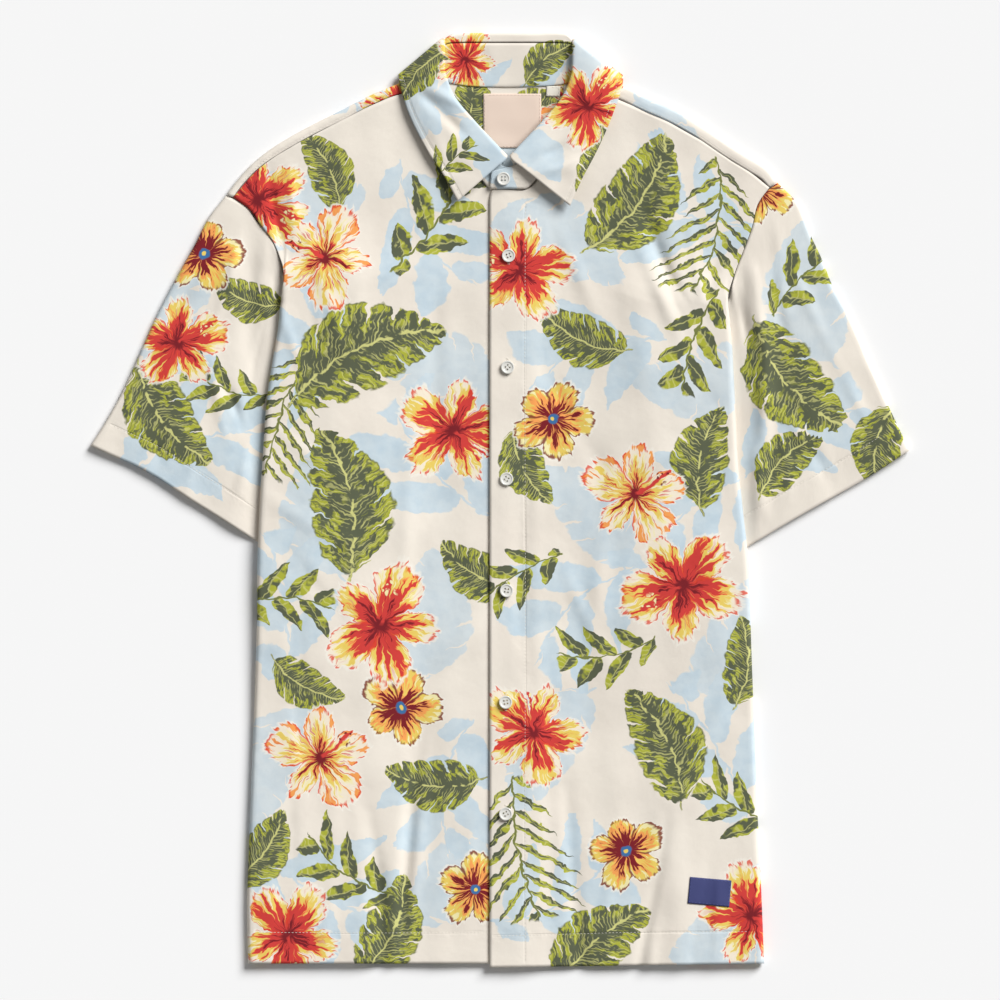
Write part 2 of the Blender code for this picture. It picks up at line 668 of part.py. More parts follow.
def sampled(stations, steps):
    """The stations with smooth places between them."""
    keys = ("n", "r", "e", "outward", "roll")
    flat = np.array([np.concatenate([station[key] for key in keys]) for station in stations])
    gaps = np.linalg.norm(np.diff(flat[:, :9], axis=0), axis=1)
    rates = np.diff(flat, axis=0) / gaps[:, None]
    both = rates[:-1] * rates[1:]
    level = np.where(both > 0, 2 * both / np.where(both > 0, rates[:-1] + rates[1:], 1), 0)
    slopes = np.concatenate([rates[:1], level, rates[-1:]])
    out = []
    for i, gap in enumerate(gaps):
        for k in range(steps):
            s = k / steps
            out.append(
                (2 * s**3 - 3 * s**2 + 1) * flat[i]
                + (s**3 - 2 * s**2 + s) * slopes[i] * gap
                + (3 * s**2 - 2 * s**3) * flat[i + 1]
                + (s**3 - s**2) * slopes[i + 1] * gap
            )
    out.append(flat[-1])
    return [
        {"n": v[0:3], "r": v[3:6], "e": v[6:9], "outward": v[9:12] / np.linalg.norm(v[9:12]), "roll": v[12]}
        for v in out
    ]


def along_stand(place):
    """The stand's direction, from the neck seam to the roll, and the roll's start on the stand's side."""
    top = place["r"] - place["outward"] * place["roll"]
    run = top - place["n"]
    return run / np.linalg.norm(run), top


def collar_stand():
    rows = []
    for place in sampled(collar_stations(), COLLAR_STEPS):
        direction, top = along_stand(place)
        rows.append([mix(place["n"], top - direction * STAND_SHORT, k / 3) for k in range(4)])

    def lap_end(end, row):
        n, top = (np.array(end[key], float) for key in ("n", "top"))
        last = [mix(n, top, k / 3) for k in range(4)]
        return [[mix(a, b, t) for a, b in zip(row, last)] for t in (0.5, 1.0)]

    rows = lap_end(STAND_UNDER_END, rows[0])[::-1] + rows + lap_end(STAND_OVER_END, rows[-1])
    return cloth_from_grid("collar_stand", rows, PRINT_CREAM, wall=COLLAR_CLOTH)


def collar_fall():
    rows = []
    for place in sampled(collar_stations(), COLLAR_STEPS):
        direction, top = along_stand(place)
        across, roll = place["outward"], place["roll"]
        strip = STAND_SHORT - mix(STAND_SIDE_GAP, STAND_GAP, abs(across[2]))
        row = [top - direction * strip, top - direction * strip / 2]
        for k in range(5):
            angle = math.pi * k / 4
            row.append(place["r"] - across * roll * math.cos(angle) + direction * roll * math.sin(angle))
        over = row[-1]
        for k in range(1, 6):
            t = k / 5
            crown = FALL_CROWN * math.sin(math.pi * t) * max(across[2], 0)
            row.append(mix(over, place["e"], t) + np.array((0, 0, crown)))
        rows.append(row)
    return cloth_from_grid("collar_fall", rows, PRINT_BLUE, wall=COLLAR_CLOTH)


# Buttons and labels


def surface_of(piece):
    shown = piece.evaluated_get(bpy.context.evaluated_depsgraph_get())
    mesh = shown.to_mesh()
    points = [v.co.copy() for v in mesh.vertices]
    faces = [tuple(p.vertices) for p in mesh.polygons]
    shown.to_mesh_clear()
    return BVHTree.FromPolygons(points, faces)


def height_under(tree, x, y, start=100.0):
    """The highest point of a surface under a place, in millimetres."""
    hit = tree.ray_cast(Vector((x * MM, y * MM, start * MM)), Vector((0, 0, -1)))
    return hit[0].z / MM if hit[0] is not None else None


def label(spec, tree):
    """A plate of woven tape, made from the points of the cloth under it, moved up."""
    width, height = spec["size"]
    turn = math.radians(spec["turn"])
    across, down = 6, 4
    rows = []
    for j in range(down + 1):
        row = []
        for i in range(across + 1):
            u, v = (i / across - 0.5) * width, (j / down - 0.5) * height
            if spec["round"] and v < 0:
                corner = spec["round"]
                inset = max(0.0, -v - (height / 2 - corner))
                u *= 1 - (1 - math.sqrt(max(1 - (inset / corner) ** 2, 0))) * 2 * corner / width * 0.9
            x = spec["centre"][0] + u * math.cos(turn) - v * math.sin(turn)
            y = spec["centre"][1] + u * math.sin(turn) + v * math.cos(turn)
            row.append((x, y, height_under(tree, x, y) + LABEL_GAP + LABEL_CLOTH / 2))
        rows.append(row)
    return cloth_from_grid(spec["name"], rows, spec["color"], wall=LABEL_CLOTH)


def button_mesh():
    """A round button with a raised rim and four holes, standing on z = 0."""
    shape = bmesh.new()
    bmesh.ops.create_circle(shape, cap_ends=True, radius=BUTTON_RADIUS * MM, segments=BUTTON_SIDES)
    base = list(shape.faces)
    lifted = bmesh.ops.extrude_face_region(shape, geom=base)
    top = [v for v in lifted["geom"] if isinstance(v, bmesh.types.BMVert)]
    bmesh.ops.translate(shape, verts=top, vec=(0, 0, BUTTON_HEIGHT * MM))
    cap = [f for f in lifted["geom"] if isinstance(f, bmesh.types.BMFace)]
    bmesh.ops.inset_region(shape, faces=cap, thickness=1.1 * MM, depth=0)
    bmesh.ops.inset_region(shape, faces=cap, thickness=0.5 * MM, depth=-BUTTON_RIM * MM)
    bmesh.ops.recalc_face_normals(shape, faces=shape.faces)
    mesh = bpy.data.meshes.new("button")
    shape.to_mesh(mesh)
    shape.free()
    return mesh


def hole_cutter():
    shape = bmesh.new()
    for x in (-1, 1):
        for y in (-1, 1):
            made = bmesh.ops.create_cone(
                shape, cap_ends=True, segments=6, radius1=BUTTON_HOLE * MM, radius2=BUTTON_HOLE * MM,
                depth=4 * BUTTON_HEIGHT * MM)
            bmesh.ops.translate(
                shape, verts=made["verts"], vec=(x * BUTTON_HOLE_OFF * MM, y * BUTTON_HOLE_OFF * MM, 0))
    mesh = bpy.data.meshes.new("holes")
    shape.to_mesh(mesh)
    shape.free()
    cutter = bpy.data.objects.new("holes", mesh)
    bpy.context.scene.collection.objects.link(cutter)
    cutter.hide_render = True
    cutter.display_type = "WIRE"
    return cutter


def button(name, mesh, x, y, tree):
    """A button on the highest of the points of cloth under its middle and its rim."""
    under = [height_under(tree, x, y)]
    for k in range(BUTTON_SIDES // 2):
        turn = 4 * math.pi * k / BUTTON_SIDES
        rim = (x + BUTTON_RADIUS * math.cos(turn), y + BUTTON_RADIUS * math.sin(turn))
        under.append(height_under(tree, *rim))
    piece = bpy.data.objects.new(name, mesh)
    bpy.context.scene.collection.objects.link(piece)
    piece.location = (x * MM, y * MM, (max(h for h in under if h is not None) + LABEL_GAP) * MM)
    return piece


def buttons(front_tree, stand_tree):
    rough = bpy.data.objects.new("button_blank", button_mesh())
    bpy.context.scene.collection.objects.link(rough)
    cutter = hole_cutter()
    cut = rough.modifiers.new("Holes", "BOOLEAN")
    cut.operation = "DIFFERENCE"
    cut.object = cutter
    bpy.context.view_layer.update()
    mesh = bpy.data.meshes.new_from_object(rough.evaluated_get(bpy.context.evaluated_depsgraph_get()))
    bpy.data.objects.remove(rough)
    bpy.data.objects.remove(cutter)
    mesh.materials.clear()
    mesh.materials.append(material("button", BUTTON_WHITE, 0.3))
    button("button_collar", mesh, *COLLAR_BUTTON, stand_tree)
    for k, x in enumerate(BUTTON_X):
        button(f"button_{k + 1}", mesh, x, BUTTON_TOP_Y - k * BUTTON_PITCH, front_tree)


def build():
    for old in list(bpy.data.objects):
        bpy.data.objects.remove(old)
    pieces = {
        "front_right": front("front_right", SIDES["right"], UNDER_FRONT_EDGE, 0),
        "front_left": front("front_left", SIDES["left"], OVER_FRONT_EDGE, 1),
        "back": back(),
        "yoke": yoke(),
        "sleeve_right": sleeve("sleeve_right", SIDES["right"]),
        "sleeve_left": sleeve("sleeve_left", SIDES["left"]),
        "collar_stand": collar_stand(),
        "collar_fall": collar_fall(),
    }
    bpy.context.view_layer.update()
    trees = {name: surface_of(pieces[name]) for name in ("front_left", "collar_stand", "yoke")}
    for spec in LABELS:
        label(spec, trees[spec["on"]])
    buttons(trees["front_left"], trees["collar_stand"])


build()
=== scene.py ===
import math

import bmesh
import bpy
import numpy as np
from mathutils import Matrix, Vector
from mathutils.bvhtree import BVHTree


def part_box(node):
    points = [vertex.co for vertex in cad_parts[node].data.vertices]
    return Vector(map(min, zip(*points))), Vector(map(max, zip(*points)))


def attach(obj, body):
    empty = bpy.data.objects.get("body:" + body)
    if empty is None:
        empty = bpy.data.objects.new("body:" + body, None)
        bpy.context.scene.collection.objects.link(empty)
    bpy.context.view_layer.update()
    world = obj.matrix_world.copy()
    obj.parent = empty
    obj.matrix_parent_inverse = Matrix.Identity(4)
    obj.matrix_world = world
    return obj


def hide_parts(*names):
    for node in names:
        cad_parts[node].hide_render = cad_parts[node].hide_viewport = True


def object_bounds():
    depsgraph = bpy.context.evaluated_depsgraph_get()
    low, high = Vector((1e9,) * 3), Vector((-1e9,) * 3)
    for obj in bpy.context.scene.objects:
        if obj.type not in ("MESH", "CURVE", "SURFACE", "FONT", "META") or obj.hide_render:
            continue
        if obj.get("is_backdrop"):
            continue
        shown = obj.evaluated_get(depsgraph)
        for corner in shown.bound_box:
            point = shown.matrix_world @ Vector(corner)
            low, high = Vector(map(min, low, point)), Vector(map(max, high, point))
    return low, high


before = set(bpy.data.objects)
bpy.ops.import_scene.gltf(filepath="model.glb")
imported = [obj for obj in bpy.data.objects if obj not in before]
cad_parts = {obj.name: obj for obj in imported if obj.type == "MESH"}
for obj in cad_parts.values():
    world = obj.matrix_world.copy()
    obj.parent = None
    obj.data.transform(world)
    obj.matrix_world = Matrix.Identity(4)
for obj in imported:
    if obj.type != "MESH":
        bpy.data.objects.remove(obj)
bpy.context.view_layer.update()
print("frame loaded")

mm = 0.001

# Lengths in the tables are millimetres. The wearer's left is +x, the collar +y. A level is the height
# of the middle of a layer of cloth.
lie = {
    "cloth": 1.2,  # the thickness that the layers are stacked for
    "floorLevel": 0.6,  # the layer on the floor
    "layer": 1.9,  # from one layer's middle to the next
    "seamGap": 0.15,  # between two panels
    "armholeGap": 0.4,  # between a sleeve and the body
    "frontRoll": 3.1,  # radius of the fronts' side folds
    "backRoll": 1.2,  # radius of the back's folds inside them
    "backInset": 2.5,  # the back's side folds lie this far inside the fronts' ones
    "tuck": 46.0,  # how far the turned-under sides run in from their folds
    "stripLeast": 1.25,  # the least width of a panel's outer strip of narrow columns, in lengths of its roll
    "frontLevel": 5.0,  # the fronts at the middle of the body
    "shoulderLevel": 5.4,  # the shoulders' folds
    "carry": 60.0,  # the layers stay stacked this far in from a side fold
    "frontFall": 90.0,  # and come down to their middle level over this much more
    "backFall": 60.0,
    "calm": (16, 30),  # the main folds start this far in from a side fold, and are full this much further
    "dent": 0.25,  # how much of a hollow is left near a side fold
    "hemY": -401.0,
    "hemDrop": 3.4,  # the lapping front's corner hangs this much lower
    "hemPart": 0.25,  # up to here on the way up
    "underFrontEdge": 21.0,  # the two fronts' centre edges, as x
    "overFrontEdge": -9.0,
    "lapLift": 2.0,  # the lapping front lies this much higher over the other
    "lapEase": 28.0,  # and comes down over this much
    "neckCentre": 7.4,  # x of the collar's middle
    "neckTopY": 269.0,  # the fronts' corners at the collar
    "neckPart": 0.78,  # the neck starts this far up a panel
    "underarmPart": 0.6,  # and the armhole this far
    "bowPart": 0.66,  # above this, the rows bow more and more like the top seam
    "armholeRows": 15,
    "rollReach": 1.4,  # the rows are close together this far round a fold, in lengths of its roll
    "rollWeight": 2.2,  # how much closer
    "yokeBackY": 240.0,  # the yoke's seam on the back
    "neckRaise": 1.8,  # the yoke lies this much higher over the back of the collar
    "sleeveLift": 3.2,  # the sides lie this much higher where they cross a sleeve
    "sleeveLevel": 5.0,  # the sleeve's upper layer
    "sleeveUnderLevel": 2.2,  # and where the body lies on it
    "sleeveRoll": 2.0,
    "sleeveRows": 10,
    "headTuck": 0.9,  # the sleeves lie this much lower at their seams
    "foldClear": 1.5,  # from a body's side fold to where the sleeve comes out
    "collarSteps": 2,  # places round the collar between two rows of its table
    "standGap": 0.8,  # between the stand and the fall
    "standSideGap": 4.4,  # and where the collar turns over at its sides
    "standShort": 7.0,  # the stand ends this far below the roll, where the fall is sewn on
    "lip": 1.4,  # the stand's lower edge turns down by this length
    "lipDrop": 0.9,  # and this much height
    "lipLevel": 6.2,  # or to this level, where it stands higher
    "fallCrown": 1.6,  # how far the fall bulges
}

sides = {
    "right": {
        "sign": -1,
        # (y, distance of the side fold from x = 0)
        "edge": [(-405, 218), (-372, 219.5), (-328, 218.5), (-259, 216), (-186, 213), (-109, 210.5),
                 (-34, 210), (46, 205), (76, 203), (110, 200), (147, 192.5), (170, 190), (197, 187.5),
                 (240, 187)],
        # where the fold starts, and the flat curve of the armhole from the shoulder to the underarm
        "pinch": 197.0,
        "armhole": [(237, 264), (227, 259), (218, 253), (211, 242), (201, 231), (192.5, 215), (187.5, 197),
                    (190, 180), (200, 163), (219, 152), (246, 147)],
        # the shoulder's fold, from the neck out
        "shoulder": [(60, 371), (77, 364.3), (88, 360.4), (108, 352.5), (140, 336), (166, 323), (187, 311),
                     (205, 300), (218, 287.5), (229, 275), (237, 264)],
        "yokeStrip": 9.0,
        "seamEnd": (231, 262),
        # the yoke's columns, as distances from x = 0
        "columns": (237, 227, 214, 195, 168, 138, 112, 93, 77, 76.4, 75.4, 74, 71.5),
        "outer": [(237, 264), (253, 243), (262, 225), (282.5, 188), (300, 153.5), (315, 119), (334, 80),
                  (354.5, 47)],
        "cuff": [(354.5, 47), (337, 39), (309, 26.5), (268, 0.5), (240, -17), (210, -36)],
        "inner": [(150, 152), (160, 60), (184, -50)],
        "sleeveZone": (-215, -64, 190, 236),
    },
    "left": {
        "sign": 1,
        "edge": [(-405, 229), (-328, 226), (-259, 222.5), (-190, 220), (-121, 217.5), (-51, 215.5),
                 (-25, 212.5), (18, 207), (61, 204.5), (104, 203), (136, 201), (173, 197.5), (200, 196),
                 (240, 196)],
        "pinch": 174.0,
        "armhole": [(240, 275), (230, 267), (223, 256), (218.5, 238), (212.5, 221), (204, 199),
                    (197.5, 174), (200, 158), (211, 142), (230, 131), (256, 126)],
        "shoulder": [(60, 378), (92, 363.8), (104, 359.3), (134, 345), (149, 339), (173, 325), (195, 309.5),
                     (217, 296), (230, 288.5), (240, 275)],
        "yokeStrip": 13.0,
        "seamEnd": (233, 270.5),
        "columns": (240, 232, 218, 198, 174, 150, 128, 108, 92, 91, 89.8, 88, 85.5),
        "outer": [(240, 275), (253, 265), (262, 243), (275, 218), (286, 189), (296, 171), (325, 106),
                  (354.4, 43)],
        "cuff": [(354.4, 43), (318, 19.5), (280, -2), (251, -18.5), (213.5, -41)],
        "inner": [(160, 132), (168, 50), (187, -56)],
        "sleeveZone": (-225, -70, 168, 214),
    },
}
neckFront = [(-70.5, 355.5), (-65.5, 345), (-55.5, 328.5), (-41, 308.5), (-24.5, 290), (-8, lie["neckTopY"])]
neckBack = [(-66, 365.6), (-52, 364.2), (-28, 361.8), (7.4, 361)]
seamRows = [lie["hemY"], -350, -300, -255, -220, -190, -160, -130, -97, -60, -10, 38, 85]

# from x, y, to x, y, half width, height
folds = [
    (121, 268, 141, 206, 9, -1.5), (141, 206, 163, 146, 9, -1.6), (134, 262, 166, 170, 14, 1.5),
    (104, 212, 122, 142, 13, 1.2), (122, 142, 117, 80, 12, 1.0), (-70, -150, -70, -401, 12, -1.4),
    (-107, -310, -107, -401, 9, -1.0), (-88, -230, -89, -401, 13, 1.5), (128, -310, 129, -401, 11, -1.3),
    (150, -250, 152, -401, 15, 1.3), (-150, 250, -128, 160, 13, 1.2), (-60, 60, -110, -60, 22, 0.9),
    (70, -20, 120, -140, 24, 0.9),
]

# round half the neck from its back: the stand's foot, the roll's crest, the fall's edge, how the roll leans in
# degrees, its radius, and how far the left side lies higher and its edge further out
collarRows = [
    ((7.4, 358.5, 4.1), (7.4, 402.2, 3.4), (7.4, 352, 0.7), -90, 1.5, 0, (0, 0)),
    ((-25.5, 359.5, 4.1), (-25.5, 402.2, 3.4), (-27, 352, 0.7), -90, 1.5, 0, (0, 0)),
    ((-52.1, 363.5, 4.1), (-41.5, 401.5, 3.5), (-55.8, 354.5, 0.7), -88, 1.5, 0, (0, 0)),
    ((-71.2, 368.9, 3.9), (-48.7, 397.2, 3.4), (-80.1, 364.8, 0.8), -58, 2.0, 0, (2, 0)),
    ((-73.1, 369.7, 6.2), (-50.6, 396.8, 7.0), (-88.2, 367.5, 4.7), -3.4, 1.9, 0, (3, 0)),
    ((-73.7, 369.2, 8.1), (-49.4, 394.4, 10.5), (-87.7, 364.1, 7.3), 55.7, 2.2, 0, (4, 0)),
    ((-67, 348, 7.5), (-48.6, 372, 10.7), (-80, 337, 10.2), 88, 1.5, 0, (4, 0)),
    ((-57.4, 327.5, 7.1), (-41, 349.5, 10.2), (-71.4, 318, 10.4), 90, 1.5, 0, (5, 0)),
    ((-42.7, 307, 7.2), (-27.5, 332, 9.9), (-61, 299, 10.5), 90, 1.5, 0.7, (6, -1)),
    ((-26.2, 288.8, 7.4), (-11, 313.5, 10.2), (-48.5, 280.5, 10.5), 90, 1.9, 1.5, (8, -2)),
    ((-5.8, 270.3, 7.6), (5.6, 295.5, 10.7), (-36.8, 258.5, 10.8), 90, 2.3, 2.3, (9, -4)),
]

# foot and top of the stand's lapped ends
standUnderEnd = ((18.5, 270.3, 7.0), (19.5, 286, 7.6))
standOverEnd = ((-8.8, 270.3, 9.6), (-7.5, 284.5, 10.4))


def smoothstep(t):
    t = min(max(t, 0.0), 1.0)
    return t * t * (3 - 2 * t)


def mix(a, b, t):
    return a + (b - a) * t


def hermite(start, end, leaving, arriving, s):
    # a smooth way from one value to the next, with a slope at each, for s from 0 to 1
    return (
        (2 * s**3 - 3 * s**2 + 1) * start + (s**3 - 2 * s**2 + s) * leaving
        + (3 * s**2 - 2 * s**3) * end + (s**3 - s**2) * arriving)


def curveThrough(points):
    # a curve through the points, read at 0 to 1
    points = np.array(points, float)
    spans = np.maximum(np.linalg.norm(np.diff(points, axis=0), axis=1), 1e-6)
    knots = np.concatenate([[0.0], np.cumsum(spans)]) / spans.sum()
    slopes = np.gradient(points, knots, axis=0)

    def at(t):
        t = min(max(t, 0.0), 1.0)
        i = min(int(np.searchsorted(knots, t, side="right")) - 1, len(points) - 2)
        span = knots[i + 1] - knots[i]
        return hermite(points[i], points[i + 1], span * slopes[i], span * slopes[i + 1], (t - knots[i]) / span)

    return at


def throughRows(values, spans, counts):
    # more rows between the given ones, on curves that never overshoot
    rates = np.diff(values, axis=0) / spans.reshape(-1, *[1] * (values.ndim - 1))
    both = rates[:-1] * rates[1:]
    inner = np.where(both > 0, 2 * both / np.where(both > 0, rates[:-1] + rates[1:], 1), 0)
    slopes = np.concatenate([rates[:1], inner, rates[-1:]])
    rows = [
        hermite(values[i], values[i + 1], slopes[i] * span, slopes[i + 1] * span, k / count)
        for i, (span, count) in enumerate(zip(spans, counts)) for k in range(count)
    ]
    return np.array(rows + [values[-1]])


def readOff(table, value):
    # a value from a table of pairs, straight between them
    return float(np.interp(value, *np.array(sorted(table), float).T))


def sideOf(x):
    return sides["left"] if x > 0 else sides["right"]


def sleeveLift(side, y):
    # how much of a side lies on its sleeve at a height, from 0 to 1
    low, lowFull, highFull, high = side["sleeveZone"]
    return smoothstep((y - low) / (lowFull - low)) * smoothstep((high - y) / (high - highFull))


def underLevel(side, y):
    # the lowest layer near a side fold
    return lie["floorLevel"] + lie["sleeveLift"] * sleeveLift(side, y)


def abovePinch(side, y):
    # 1 above the underarm, where the sides aren't folded
    low, high = side["sleeveZone"][2:]
    return smoothstep((y - low) / (high - low + 12))


def edgeIn(side, y):
    # how far out the side fold lies
    return readOff(side["edge"], y)


def foldsAt(x, y):
    # the height of the main folds
    total = 0.0
    for startX, startY, endX, endY, width, height in folds:
        run = np.array((endX - startX, endY - startY), float)
        off = np.array((x - startX, y - startY), float)
        along = float(np.clip(off @ run / (run @ run), 0, 1))
        off = np.hypot(*(off - along * run))
        total += height * math.sin(math.pi * mix(0.12, 0.88, along)) * math.exp(-((off / width) ** 2))
    return total


def frontLevel(x, y):
    # the fronts' level: stacked at the side folds, down to their middle level further in
    side = sideOf(x)
    inside = edgeIn(side, y) - abs(x)
    top = mix(underLevel(side, y) + 2 * lie["frontRoll"], lie["shoulderLevel"], abovePinch(side, y))
    eased = smoothstep((inside - lie["carry"]) / lie["frontFall"])
    calm = smoothstep((inside - lie["calm"][0]) / lie["calm"][1])
    fold = foldsAt(x, y)
    if fold <= 0:
        fold *= mix(lie["dent"], 1.0, eased)
    return mix(top, lie["frontLevel"], eased) + calm * fold


def lapLift(x):
    # the lapping front climbs over the other one
    return lie["lapLift"] * (1 - smoothstep((x - lie["underFrontEdge"] - 2) / lie["lapEase"]))


def backLevel(x, y):
    # the back's level: over the turned-under sides, and on the floor further in
    side = sideOf(x)
    inside = edgeIn(side, y) - abs(x)
    top = mix(underLevel(side, y) + lie["layer"] + 2 * lie["backRoll"], lie["floorLevel"], abovePinch(side, y))
    return mix(top, lie["floorLevel"], smoothstep((inside - lie["carry"]) / lie["backFall"]))


def foldStart(side, y):
    return edgeIn(side, y) - lie["frontRoll"] - lie["cloth"] / 2


def turnedUnder(start, beyond, roll, level):
    # how far out and how high cloth lies that runs beyond the start of a fold
    if beyond >= math.pi * roll:
        return start - (beyond - math.pi * roll), level
    angle = beyond / roll
    return start + roll * math.sin(angle), level + roll + roll * math.cos(angle)


def turnedPart(side, y):
    return 1 - smoothstep((y - side["pinch"] + 10) / 20)


def stripMarks(roll, steps, width):
    # places across the outer strip, close together round its fold
    onRoll = math.pi * roll
    if width < lie["stripLeast"] * onRoll * 1.01:
        return [width * k / (steps + 2) for k in range(steps + 3)]
    return [onRoll * k / steps for k in range(steps + 1)] + [mix(onRoll, width, 0.5), width]


def armholePlaces(armholeAt, startAt, onRoll):
    # places up the armhole, closer together where it goes round the fold
    fine = np.linspace(0, 1, 201)
    points = np.array([armholeAt(t) for t in fine])
    beyond = points[:, 0] - np.array([startAt(y) for y in points[:, 1]])
    near = (beyond > -2) & (beyond < onRoll * lie["rollReach"])
    steps = np.linalg.norm(np.diff(points, axis=0), axis=1) * np.where(near[1:], lie["rollWeight"], 1.0)
    travel = np.concatenate([[0.0], np.cumsum(steps)])
    return np.interp(np.linspace(0, travel[-1], lie["armholeRows"]), travel, fine).tolist()


def bodyRows(side, roll, rollSteps, inset, columns, levelOf, under, centreOf, seamTop):
    # half the body, from the hem up, its side turned under

    def startAt(y):
        return foldStart(side, y) - inset

    underarmY = side["armhole"][-1][1]
    onRoll = math.pi * roll
    tuck = lie["tuck"] - inset
    underarm = (startAt(underarmY) + onRoll + tuck, underarmY)
    lowerArmhole = [
        (min(x, startAt(y)) if inset and -20 < y - side["pinch"] < 12 else x, y)
        for x, y in side["armhole"][:-1]
        if y < seamTop[0][1] - 4
    ]
    armholeAt = curveThrough([underarm] + lowerArmhole[::-1] + [seamTop[0]])
    seam = []
    for y in seamRows:
        part = lie["underarmPart"] * (y - lie["hemY"]) / (underarmY - lie["hemY"])
        seam.append((startAt(y) + onRoll + tuck, y, part))
    for t in armholePlaces(armholeAt, startAt, onRoll):
        seam.append((*armholeAt(t).tolist(), mix(lie["underarmPart"], 1.0, t)))
    topX, topY = np.array(seamTop[::-1], float).T

    def flatRow(seamX, seamY, part):
        # the row laid out flat, from the seam to the centre
        strip = max(seamX - startAt(seamY), lie["stripLeast"] * math.pi * roll)
        points = [(seamX - strip + mark, seamY) for mark in reversed(stripMarks(roll, rollSteps, strip))]
        return points + [mixPoints(points[-1], centreOf(part), k / columns) for k in range(1, columns + 1)]

    bow = [float(np.interp(x, topX, topY)) - y for x, y in flatRow(*seam[-1])]
    rows = []
    for seamX, seamY, part in seam:
        start = startAt(seamY)
        bend = smoothstep((part - lie["bowPart"]) / (1 - lie["bowPart"]))
        turned = turnedPart(side, seamY)
        row = []
        for (x, y), rise in zip(flatRow(seamX, seamY, part), bow):
            y += bend * rise
            out, z = x, levelOf(side["sign"] * x, y)
            if x > start and turned > 0:
                roundOut, roundZ = turnedUnder(start, x - start, roll, under(side, seamY))
                out, z = mix(out, roundOut, turned), mix(z, roundZ, turned)
            row.append((side["sign"] * out, y, z, side["sign"] * x, y))
        rows.append(row)
    return rows


def centreY(side, part, topPart, topY):
    # the height of a row where it meets the centre
    underarmY = side["armhole"][-1][1]
    if part <= lie["underarmPart"]:
        return mix(lie["hemY"], underarmY, part / lie["underarmPart"])
    return mix(underarmY, topY, (part - lie["underarmPart"]) / (topPart - lie["underarmPart"]))


def mixPoints(a, b, t):
    return tuple(mix(p, q, t) for p, q in zip(a, b))


def shoulderY(side, out):
    return readOff(side["shoulder"], out)


def mirrored(point):
    return (2 * lie["neckCentre"] - point[0], *point[1:])


def frontRows(side, centreX, lift):
    sign = side["sign"]
    neck = neckFront if sign < 0 else [mirrored(p) for p in neckFront]
    neck = [(sign * x, y) for x, y in neck]
    strip = side["yokeStrip"] + lie["seamGap"]
    seamTop = [(side["seamEnd"][0] - lie["seamGap"] / 2, side["seamEnd"][1] - lie["seamGap"])]
    seamTop += [(x, shoulderY(side, x) - strip) for x in (218, 200, 175, 145, 115, 95)]
    seamTop.append((neck[0][0], min(neck[0][1], shoulderY(side, neck[0][0]) - strip)))
    corner = (sign * centreX, lie["neckTopY"])
    neckAt = curveThrough([corner, mixPoints(corner, neck[-1], 0.5)] + neck[::-1])

    def centreOf(part):
        if part >= lie["neckPart"]:
            return neckAt((part - lie["neckPart"]) / (1 - lie["neckPart"]))
        drop = lie["hemDrop"] * lift * (1 - smoothstep(part / lie["hemPart"]))
        return corner[0], centreY(side, part, lie["neckPart"], lie["neckTopY"]) - drop

    def level(x, y):
        return frontLevel(x, y) + lift * lapLift(x)

    rows = bodyRows(side, lie["frontRoll"], 4, 0, 17, level, underLevel, centreOf, seamTop)
    return rows if sign < 0 else [row[::-1] for row in rows]


def backRows():
    top = lie["yokeBackY"] - lie["seamGap"]
    halves = [
        bodyRows(
            side, lie["backRoll"], 3, lie["backInset"], 8, backLevel,
            lambda side, y: underLevel(side, y) + lie["layer"],
            lambda part, side=side: (0.0, centreY(side, part, 1.0, top)),
            [(x, top) for x in (armholeX(side, top), 150, 75, 0)])
        for side in (sides["right"], sides["left"])
    ]
    return [right + left[::-1][1:] for right, left in zip(*halves)]


def armholeX(side, y):
    return readOff([(p[1], p[0]) for p in side["armhole"] if p[1] >= side["pinch"]], y)


def yokeLevel(x, y):
    near = smoothstep((y - 316) / 26) * smoothstep((122 - abs(x - lie["neckCentre"])) / 26)
    return lie["floorLevel"] + lie["neckRaise"] * near


